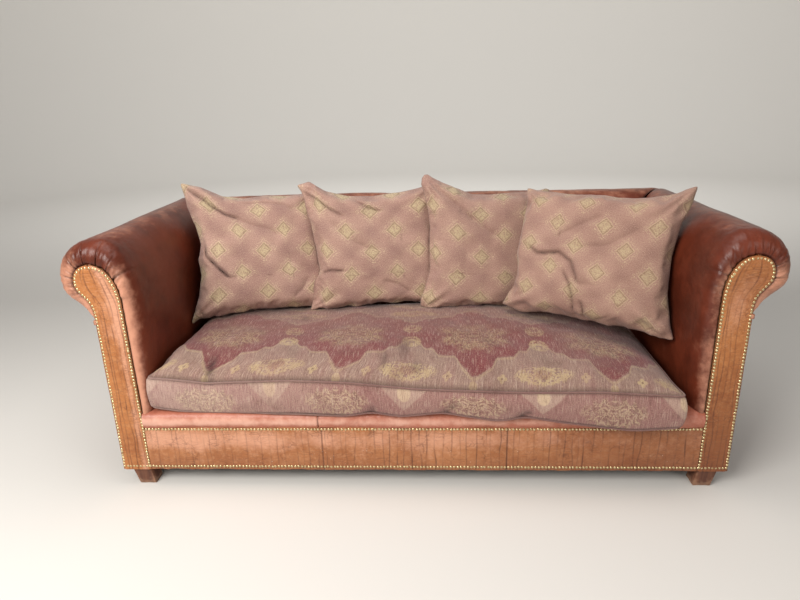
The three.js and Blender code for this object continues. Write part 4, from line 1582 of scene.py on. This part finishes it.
def seat_cushion():
    piece, unit = block("seat_cushion_cover", (159, 69, 9))
    flat_x = CUSHION_LEFT + CUSHION_LENGTH * unit[:, 0]
    flat_y = SEAT_DEPTH * unit[:, 1] * 1.03
    mesh = piece.data
    centre = np.zeros(len(mesh.polygons) * 3, np.float32)
    mesh.polygons.foreach_get("center", centre)
    centre = np.abs(centre.reshape(-1, 3))
    on_border = (centre[:, 2] < 0.4999).astype(np.int32)
    on_end = on_border * (centre[:, 0] > 0.4999)
    sizes = np.array([p.loop_total for p in mesh.polygons])
    corner = corners_of(piece)
    border_corner = np.repeat(on_border, sizes)
    end_corner = np.repeat(on_end, sizes)
    run = np.where(end_corner == 1, flat_y[corner], flat_x[corner])
    down = np.where(border_corner == 1, BORDER * (1 - unit[corner, 2]), flat_y[corner])
    write_uv(piece, run, down)
    for slot_finish in (tapestry_top, tapestry_border):
        mesh.materials.append(slot_finish)
    mesh.polygons.foreach_set("material_index", on_border)
    put_points(piece, seat_shape(unit))
    edge_z = (unit[:, 2] > 0.999) | (unit[:, 2] < 0.001)
    rim = np.minimum(from_edge(unit[:, 0]), from_edge(unit[:, 1]))
    seam = (edge_z & (rim < 0.001)).astype(float)
    swell(piece, 3.0, 0.030, 0.010, seam)
    points = points_of(piece)
    x, y = points[:, 0], points[:, 1] - FRONT
    on_top = unit[:, 2] > 0.999
    wear = unevenness(x, y, 0.13, 41, 2) * 0.0045 + unevenness(x * 1.2, y, 0.045, 43, 2) * 0.0026
    wear += 0.0030 * unevenness(x * 2.2, y * 0.7, 0.06, 45, 1)
    points[:, 2] += np.where(on_top, wear * np.minimum(1, rim / 0.04), 0)
    dimple = bump(x + 0.662, 0.012) * bump(y - 0.045, 0.040)
    points[:, 2] -= np.where(on_top, 0.010 * dimple, 0)
    front = (unit[:, 1] < 0.001).astype(float)
    span = 4 * unit[:, 2] * (1 - unit[:, 2])
    wrinkle = 0.0035 * unevenness(x * 2.4 + points[:, 2] * 2, points[:, 2], 0.05, 47, 3)
    tuck = tucks_in_border(x, points[:, 2], TUCKS) * front
    points[:, 1] += front * (wrinkle * span + 0.009 * tuck)
    on_lip = [0.20, 0.262, 0.2765, 0.279, 0.2795]
    floor_z = np.interp(points[:, 1] - FRONT, [-0.0145, -0.0115, -0.002, 0.014, 0.10], on_lip)
    points[:, 2] = np.where(unit[:, 2] < 0.5, np.maximum(points[:, 2], floor_z), points[:, 2])
    reach = beside_arm(points[:, 1] - FRONT)
    points[:, 0] = np.clip(points[:, 0], -reach, reach)
    put_points(piece, points)
    stain = 1.2 * dimple + 0.7 * bump(x + 0.42, 0.014) * bump(y - 0.40, 0.022)
    stain += 1.1 * bump(x + 0.040, 0.008) * bump(y - 0.115, 0.050)
    spots = 0.7 * bump(x + 0.103, 0.010) * bump(y - 0.06, 0.03)
    stain += spots + 0.5 * bump(x, 0.016) * bump(y - 0.035, 0.02)
    # Stains on the top, and painted shade along the seams and in the tucks.
    put_value(piece, "crease", np.where(on_top, stain, 0) + 0.6 * seam + 0.9 * tuck)
    rings = []
    for on_ring in (on_top, unit[:, 2] < 0.001):
        loop = np.where(on_ring & (rim < 0.001))[0]
        around = np.arctan2(unit[loop, 1] - 0.5, unit[loop, 0] - 0.5)
        rings.append(points[loop[np.argsort(around)]])
    finish_modifier(piece, "SUBSURF", levels=1, render_levels=1, boundary_smooth="ALL")
    shade_soft(piece, 75)
    place_piece(piece, [tapestry_top, tapestry_border], "tapestry", "seat_cushion")
    return piece, rings


cushion, seam_rings = seat_cushion()

# %% [markdown]
# ## Piping
# A cord covered in the same cloth is sewn into both seams of the border. It is a closed curve
# through the seam's points with a round section, turned into a mesh.

# %% Piping
def piping(name, ring, thickness, inset):
    centre = ring.mean(0)
    curve = bpy.data.curves.new(name, "CURVE")
    curve.dimensions = "3D"
    curve.bevel_depth = thickness / 2
    curve.bevel_resolution = 2
    line = curve.splines.new("POLY")
    line.points.add(len(ring) - 1)
    line.use_cyclic_u = True
    far = np.maximum(np.linalg.norm(centre - ring, axis=1), 1e-6)
    drawn = ring + (centre - ring) * (inset / far)[:, None]
    for _ in range(3):
        drawn = (np.roll(drawn, 1, 0) + drawn * 2 + np.roll(drawn, -1, 0)) / 4
    for point, place in zip(line.points, drawn):
        point.co = (*place, 1)
    piece = bpy.data.objects.new(name, curve)
    scene.collection.objects.link(piece)
    select_only(piece)
    bpy.ops.object.convert(target="MESH")
    piece = bpy.context.object
    # Painted shade: the cord is darkened all along, as it sits in the groove of the seam.
    put_value(piece, "crease", np.full(len(piece.data.vertices), 0.35))
    bpy.ops.object.shade_smooth()
    place_piece(piece, tapestry_border, "tapestry")


piping("seat_cushion_top_piping", seam_rings[0], 0.0066, -0.0015)
piping("seat_cushion_low_piping", seam_rings[1], 0.0056, -0.0005)

# %% [markdown]
# ## The back pillows
# Four knife-edge pillows lean on the back, each with its left edge in front of the right edge of the
# one before it. Each is a thin block swelled flat on its own, where its UV map is simply its cut. Its
# pressed folds are added, and then the whole is laid between its four corners on the sofa. The sides
# pull in between the corners, and the corners stay as points. Points that would pass into the
# cushion, the back, an arm or the pillow before are moved back onto that piece's surface.

# %% Pillow maker
def drawn_in(position, stops):
    """How far a side is drawn in at each place along it, from a few (place, metres) stops."""
    places, depths = zip(*([(0.0, 0.0)] + stops + [(1.0, 0.0)]))
    return np.interp(position, places, depths)


def pillow(name, corners, cut_size, depth, sides, folds, seed):
    wide, tall = cut_size
    piece, unit = block(name + "_cover", (62, 0, 62))
    a, side, c = unit[:, 0], 1 - 2 * unit[:, 1], unit[:, 2]
    dome = (1 - np.abs(2 * a - 1) ** 2.6) * (1 - np.abs(2 * c - 1) ** 2.6)
    half = 0.004 + (depth / 2 - 0.016) * np.sqrt(np.clip(dome, 0, 1))
    put_points(piece, np.stack([a * wide, -side * half, c * tall], 1))
    put_uv(piece, a * wide + seed * 0.031, c * tall + seed * 0.017)
    rim = np.minimum(from_edge(a), from_edge(c))
    swell(piece, 2.2, 0.06, 0.024, (rim < 0.001).astype(float), 18)
    for label, numbers in (("across", a), ("up", c), ("through", unit[:, 1])):
        put_value(piece, label, numbers)
    finish_modifier(piece, "SUBSURF", levels=1, render_levels=1)
    a, c, through = (take_value(piece, label) for label in ("across", "up", "through"))
    side = 1 - 2 * through
    rim = np.minimum(from_edge(a), from_edge(c))
    local = points_of(piece)
    tips = local[(from_edge(a) < 0.001) & (from_edge(c) < 0.001)]
    first, last = tips.min(0), tips.max(0)
    u = (local[:, 0] - first[0]) / (last[0] - first[0])
    v = (local[:, 2] - first[2]) / (last[2] - first[2])
    out = -local[:, 1]
    rise, crease_shade = np.zeros_like(u), np.zeros_like(u)
    for line, deep, width, fuller, far in folds:
        height, dark = pressed_fold(u, v, line, deep, width, fuller, far)
        rise += height
        crease_shade += dark * min(1.0, (deep / 0.014) ** 1.5) * min(1.0, 0.014 / width)
    inward = np.minimum(1, rim / 0.07)
    soft = 0.0060 * unevenness(u, v, 0.26, seed, 2) + 0.0032 * unevenness(u, v, 0.10, seed + 5, 2)
    for cu, cv in ((0, 0), (1, 0), (1, 1), (0, 1)):
        far = np.hypot(u - cu, v - cv)
        turn = np.arctan2(np.abs(v - cv), np.abs(u - cu))
        soft += 0.0040 * np.sin(turn * 13 + seed + cu) * bump(far - 0.12, 0.12)
    out = out + side * soft * inward + np.where(side > 0, rise * inward, 0)
    low, top, left, right = (drawn_in(p, stops) for p, stops in zip((u, u, v, v), sides))
    in_u, in_v = np.clip(u, 0, 1), np.clip(v, 0, 1)
    pull_u = (left * (1 - in_u) ** 1.5 * (u < 0.7) - right * in_u**1.5 * (u > 0.3)) / wide
    pull_v = (low * (1 - in_v) ** 1.5 * (v < 0.7) - top * in_v**1.5 * (v > 0.3)) / tall
    pucker = 0.011 * unevenness(u, v, 0.07, seed + 9, 2) * bump(rim, 0.035)
    pucker *= 1 - 0.7 * ease(v / 0.3)
    crimp = 0.010 * unevenness(u, v * 0, 0.055, seed + 13, 2) * bump(v, 0.05)
    uu, vv = u + pull_u + 0.5 * pucker, v + pull_v + 0.5 * pucker + crimp
    low_left, low_right, top_right, top_left = (np.array(p) / 1000 + (0, FRONT, 0) for p in corners)
    low_line = low_left + (low_right - low_left) * uu[:, None]
    high_line = top_left + (top_right - top_left) * uu[:, None]
    place = low_line + (high_line - low_line) * vv[:, None]
    facing = np.cross(low_right - low_left, top_left - low_left)
    facing /= np.linalg.norm(facing)
    points = place + facing * out[:, None]
    points[:, 1] += 0.8 * (pucker + crimp) * bump(rim, 0.02)
    moved = keep_clear(points, cushion_skin, 2, -1, where=points[:, 2] < 0.53)
    moved += keep_clear(points, back_skin, 1, 1)
    for arm_side, skin in arm_skins.items():
        moved += keep_clear(points, skin, 0, arm_side, where=points[:, 0] * arm_side > 0.72)
    for skin in done_pillows:
        moved += keep_clear(points, skin, 1, 1, 0.001)
    put_points(piece, points)
    # Painted shade in the pressed folds on the front and along the seam.
    put_value(piece, "crease", np.where(side > 0, crease_shade, 0) * inward + 0.40 * bump(rim, 0.004))
    shade_soft(piece, 80)
    place_piece(piece, pillow_cloth, "pillow_weave", name)
    done_pillows.append(skin_of(piece))
    print(name, "moved clear of its neighbours at", moved, "points")


cushion_skin = skin_of(cushion)
back_skin = skin_of(inside_back)
arm_names = {-1: "left_arm_hide", 1: "right_arm_hide"}
arm_skins = {side: skin_of(bpy.data.objects[name]) for side, name in arm_names.items()}
done_pillows = []
print("pillow maker ready")

# %% [markdown]
# ## The four pillows
# Each pillow is given by its four corners in millimetres, how its four sides draw in (bottom, top,
# left and right), and the folds that leaning has pressed into it. A fold is a line across the pillow
# from 0 to 1 each way, its depth, its width, how much fuller the cloth is beside it, and how far that
# fullness reaches.

# %% Back pillows
pillow(
    "back_pillow_1",
    [(-843, 366, 448), (-320, 565, 436), (-385, 690, 888), (-885, 544, 941)],
    (0.52, 0.50), 0.13,
    [
        [(0.17, 0.004), (0.35, 0.006), (0.65, 0.004)],
        [(0.14, -0.002), (0.28, 0.025), (0.43, 0.032), (0.57, 0.020), (0.72, 0.019), (0.85, 0.011)],
        [
            (0.06, 0.003), (0.19, 0.016), (0.33, 0.028), (0.45, 0.022),
            (0.56, 0.037), (0.69, 0.024), (0.83, 0.003),
        ],
        [(0.5, 0.02)],
    ],
    [
        ([(-0.02, 1.02), (0.07, 0.92), (0.19, 0.83), (0.27, 0.79), (0.38, 0.76)], 0.013, 0.010, 0.010, 0.07),
        ([(0.30, 0.79), (0.42, 0.73), (0.56, 0.67), (0.66, 0.60)], 0.009, 0.032, 0.004, 0.08),
        ([(0.06, 0.56), (0.09, 0.46), (0.17, 0.36), (0.26, 0.27)], 0.017, 0.009, 0.014, 0.06),
        ([(0.38, 0.90), (0.55, 0.89), (0.70, 0.87), (0.80, 0.81)], 0.006, 0.016, 0.004, 0.06),
        ([(0.82, 0.27), (0.76, 0.17), (0.68, 0.10)], 0.006, 0.018, 0.004, 0.05),
        ([(0.07, 0.06), (0.03, -0.02)], 0.008, 0.008, 0.0, 0.04),
    ],
    1,
)
pillow(
    "back_pillow_2",
    [(-418, 500, 449), (108, 575, 434), (94, 684, 908), (-451, 580, 920)],
    (0.50, 0.48), 0.12,
    [
        [(0.15, -0.006), (0.30, -0.008), (0.45, 0.0), (0.62, 0.004)],
        [(0.08, -0.012), (0.19, 0.013), (0.34, 0.030), (0.50, 0.034), (0.73, 0.018)],
        [(0.11, 0.008), (0.24, 0.018), (0.32, 0.034), (0.55, 0.024), (0.89, 0.012)],
        [(0.5, 0.02)],
    ],
    [
        ([(-0.02, 0.99), (0.07, 0.89), (0.18, 0.83), (0.29, 0.77)], 0.011, 0.012, 0.008, 0.07),
        ([(0.36, 0.94), (0.45, 0.87), (0.57, 0.82)], 0.009, 0.012, 0.006, 0.06),
        ([(0.14, 0.75), (0.30, 0.60), (0.42, 0.53), (0.55, 0.50)], 0.006, 0.040, 0.003, 0.08),
        ([(0.04, 0.30), (0.12, 0.33), (0.24, 0.34)], 0.011, 0.010, 0.006, 0.05),
        ([(0.52, 0.24), (0.64, 0.20), (0.76, 0.12)], 0.006, 0.020, 0.004, 0.05),
    ],
    2,
)
pillow(
    "back_pillow_3",
    [(16, 500, 451), (525, 570, 430), (515, 690, 868), (30, 580, 949)],
    (0.48, 0.48), 0.12,
    [
        [(0.10, -0.008), (0.30, -0.006), (0.55, -0.006)],
        [(0.125, 0.011), (0.26, 0.024), (0.38, 0.040), (0.51, 0.034), (0.70, 0.016), (0.86, 0.009)],
        [(0.08, -0.006), (0.28, 0.012), (0.63, 0.010), (0.82, 0.0), (0.93, -0.012)],
        [(0.5, 0.02)],
    ],
    [
        ([(0.04, 1.0), (0.15, 0.90), (0.30, 0.80), (0.46, 0.68), (0.62, 0.57)], 0.009, 0.034, 0.004, 0.08),
        ([(0.46, 0.96), (0.62, 0.955), (0.80, 0.95)], 0.005, 0.012, 0.003, 0.04),
        ([(0.24, 0.80), (0.31, 0.77), (0.38, 0.76)], 0.006, 0.024, 0.0, 0.04),
        ([(0.90, 0.44), (0.86, 0.30), (0.88, 0.14)], 0.007, 0.030, 0.004, 0.06),
    ],
    3,
)
pillow(
    "back_pillow_4",
    [(318, 455, 474), (842, 166, 448), (906, 285, 930), (412, 560, 893)],
    (0.60, 0.50), 0.13,
    [
        [(0.12, -0.020), (0.36, -0.008), (0.65, -0.014), (0.85, -0.002), (0.93, -0.008)],
        [(0.15, 0.002), (0.50, 0.009), (0.58, 0.020), (0.75, 0.020), (0.86, 0.017), (0.94, 0.005)],
        [
            (0.11, 0.009), (0.19, 0.024), (0.28, 0.023), (0.36, 0.016),
            (0.47, 0.0), (0.71, 0.002), (0.86, 0.007),
        ],
        [(0.12, 0.017), (0.30, 0.030), (0.55, 0.033), (0.77, 0.021), (0.90, 0.002)],
    ],
    [
        (
            [(0.08, 0.56), (0.19, 0.48), (0.33, 0.50), (0.41, 0.44), (0.45, 0.33), (0.47, 0.26)],
            0.011, 0.012, 0.013, 0.08,
        ),
        ([(0.35, 0.39), (0.41, 0.27), (0.45, 0.14), (0.46, 0.06)], 0.011, 0.009, 0.008, 0.05),
        ([(0.49, 0.18), (0.515, 0.11), (0.525, 0.0)], 0.012, 0.009, 0.006, 0.05),
        ([(0.26, 0.60), (0.42, 0.71), (0.56, 0.81)], 0.008, 0.038, 0.004, 0.08),
        ([(0.42, 0.54), (0.62, 0.60), (0.80, 0.74)], 0.006, 0.040, 0.004, 0.10),
        ([(0.22, 0.90), (0.34, 0.92), (0.46, 0.95)], 0.005, 0.022, 0.003, 0.05),
    ],
    4,
)

# %% [markdown]
# ## Floor and light
# The studio is a plain pale floor that curves up into a wall all round, like a bowl. A grid makes it:
# one way goes round and the other goes outwards and up. The main soft light stands in front on the
# left, with a weaker one on the right, one on the wall behind and one overhead.

# %% Floor and light
def studio():
    bpy.ops.object.select_all(action="DESELECT")
    bpy.ops.mesh.primitive_grid_add(x_subdivisions=96, y_subdivisions=60, size=1.0)
    floor = bpy.context.object
    floor.name = "studio_floor"
    points = points_of(floor)
    flat, radius, wall = 8.0, 3.0, 4.0
    run = (points[:, 1] + 0.5) * (flat + radius * math.pi / 2 + wall)
    turn = np.clip((run - flat) / radius, 0, math.pi / 2)
    over = np.maximum(run - flat - radius * math.pi / 2, 0)
    out = 0.001 + np.minimum(run, flat) + radius * np.sin(turn)
    round_by = points[:, 0] * -2 * math.pi
    z = radius * (1 - np.cos(turn)) + over
    put_points(floor, np.stack([out * np.cos(round_by), out * np.sin(round_by), z], 1))
    on_all_faces(floor, bpy.ops.mesh.remove_doubles, threshold=0.003)
    on_all_faces(floor, bpy.ops.mesh.normals_make_consistent, inside=True)
    bpy.ops.object.shade_smooth()
    f = Finish("studio_floor")
    floor.data.materials.append(f.set(Base_Color=tone((222, 219, 214)), Roughness=0.95))
    world = bpy.data.worlds.new("studio_air")
    scene.world = world
    world.use_nodes = True
    air = world.node_tree.nodes["Background"]
    air.inputs["Color"].default_value = (0.84, 0.83, 0.82, 1)
    air.inputs["Strength"].default_value = 0.34


def soft_light(name, place, target, size, power, colour=(1, 1, 1)):
    light = bpy.data.lights.new(name, "AREA")
    light.shape = "RECTANGLE"
    light.size, light.size_y = size
    light.energy = power
    light.color = colour
    holder = bpy.data.objects.new(name, light)
    scene.collection.objects.link(holder)
    holder.location = place
    aim = Vector(target) - Vector(place)
    holder.rotation_euler = aim.to_track_quat("-Z", "Y").to_euler()


studio()
soft_light("key_light", (-1.7, -2.5, 2.3), (-0.1, 0.0, 0.35), (1.9, 1.5), 112, (1.0, 0.97, 0.93))
soft_light("fill_light", (2.4, -3.0, 1.6), (0.3, 0.0, 0.4), (1.6, 1.6), 22, (1.0, 0.96, 0.92))
soft_light("backdrop_light", (0.0, 3.0, 4.6), (0.0, 10.5, 2.2), (7.0, 2.0), 330, (1.0, 0.99, 0.97))
soft_light("top_light", (-0.2, -0.4, 3.2), (0.0, 0.0, 0.4), (2.4, 1.6), 34, (1.0, 0.98, 0.96))
scene.view_settings.view_transform = "Standard"
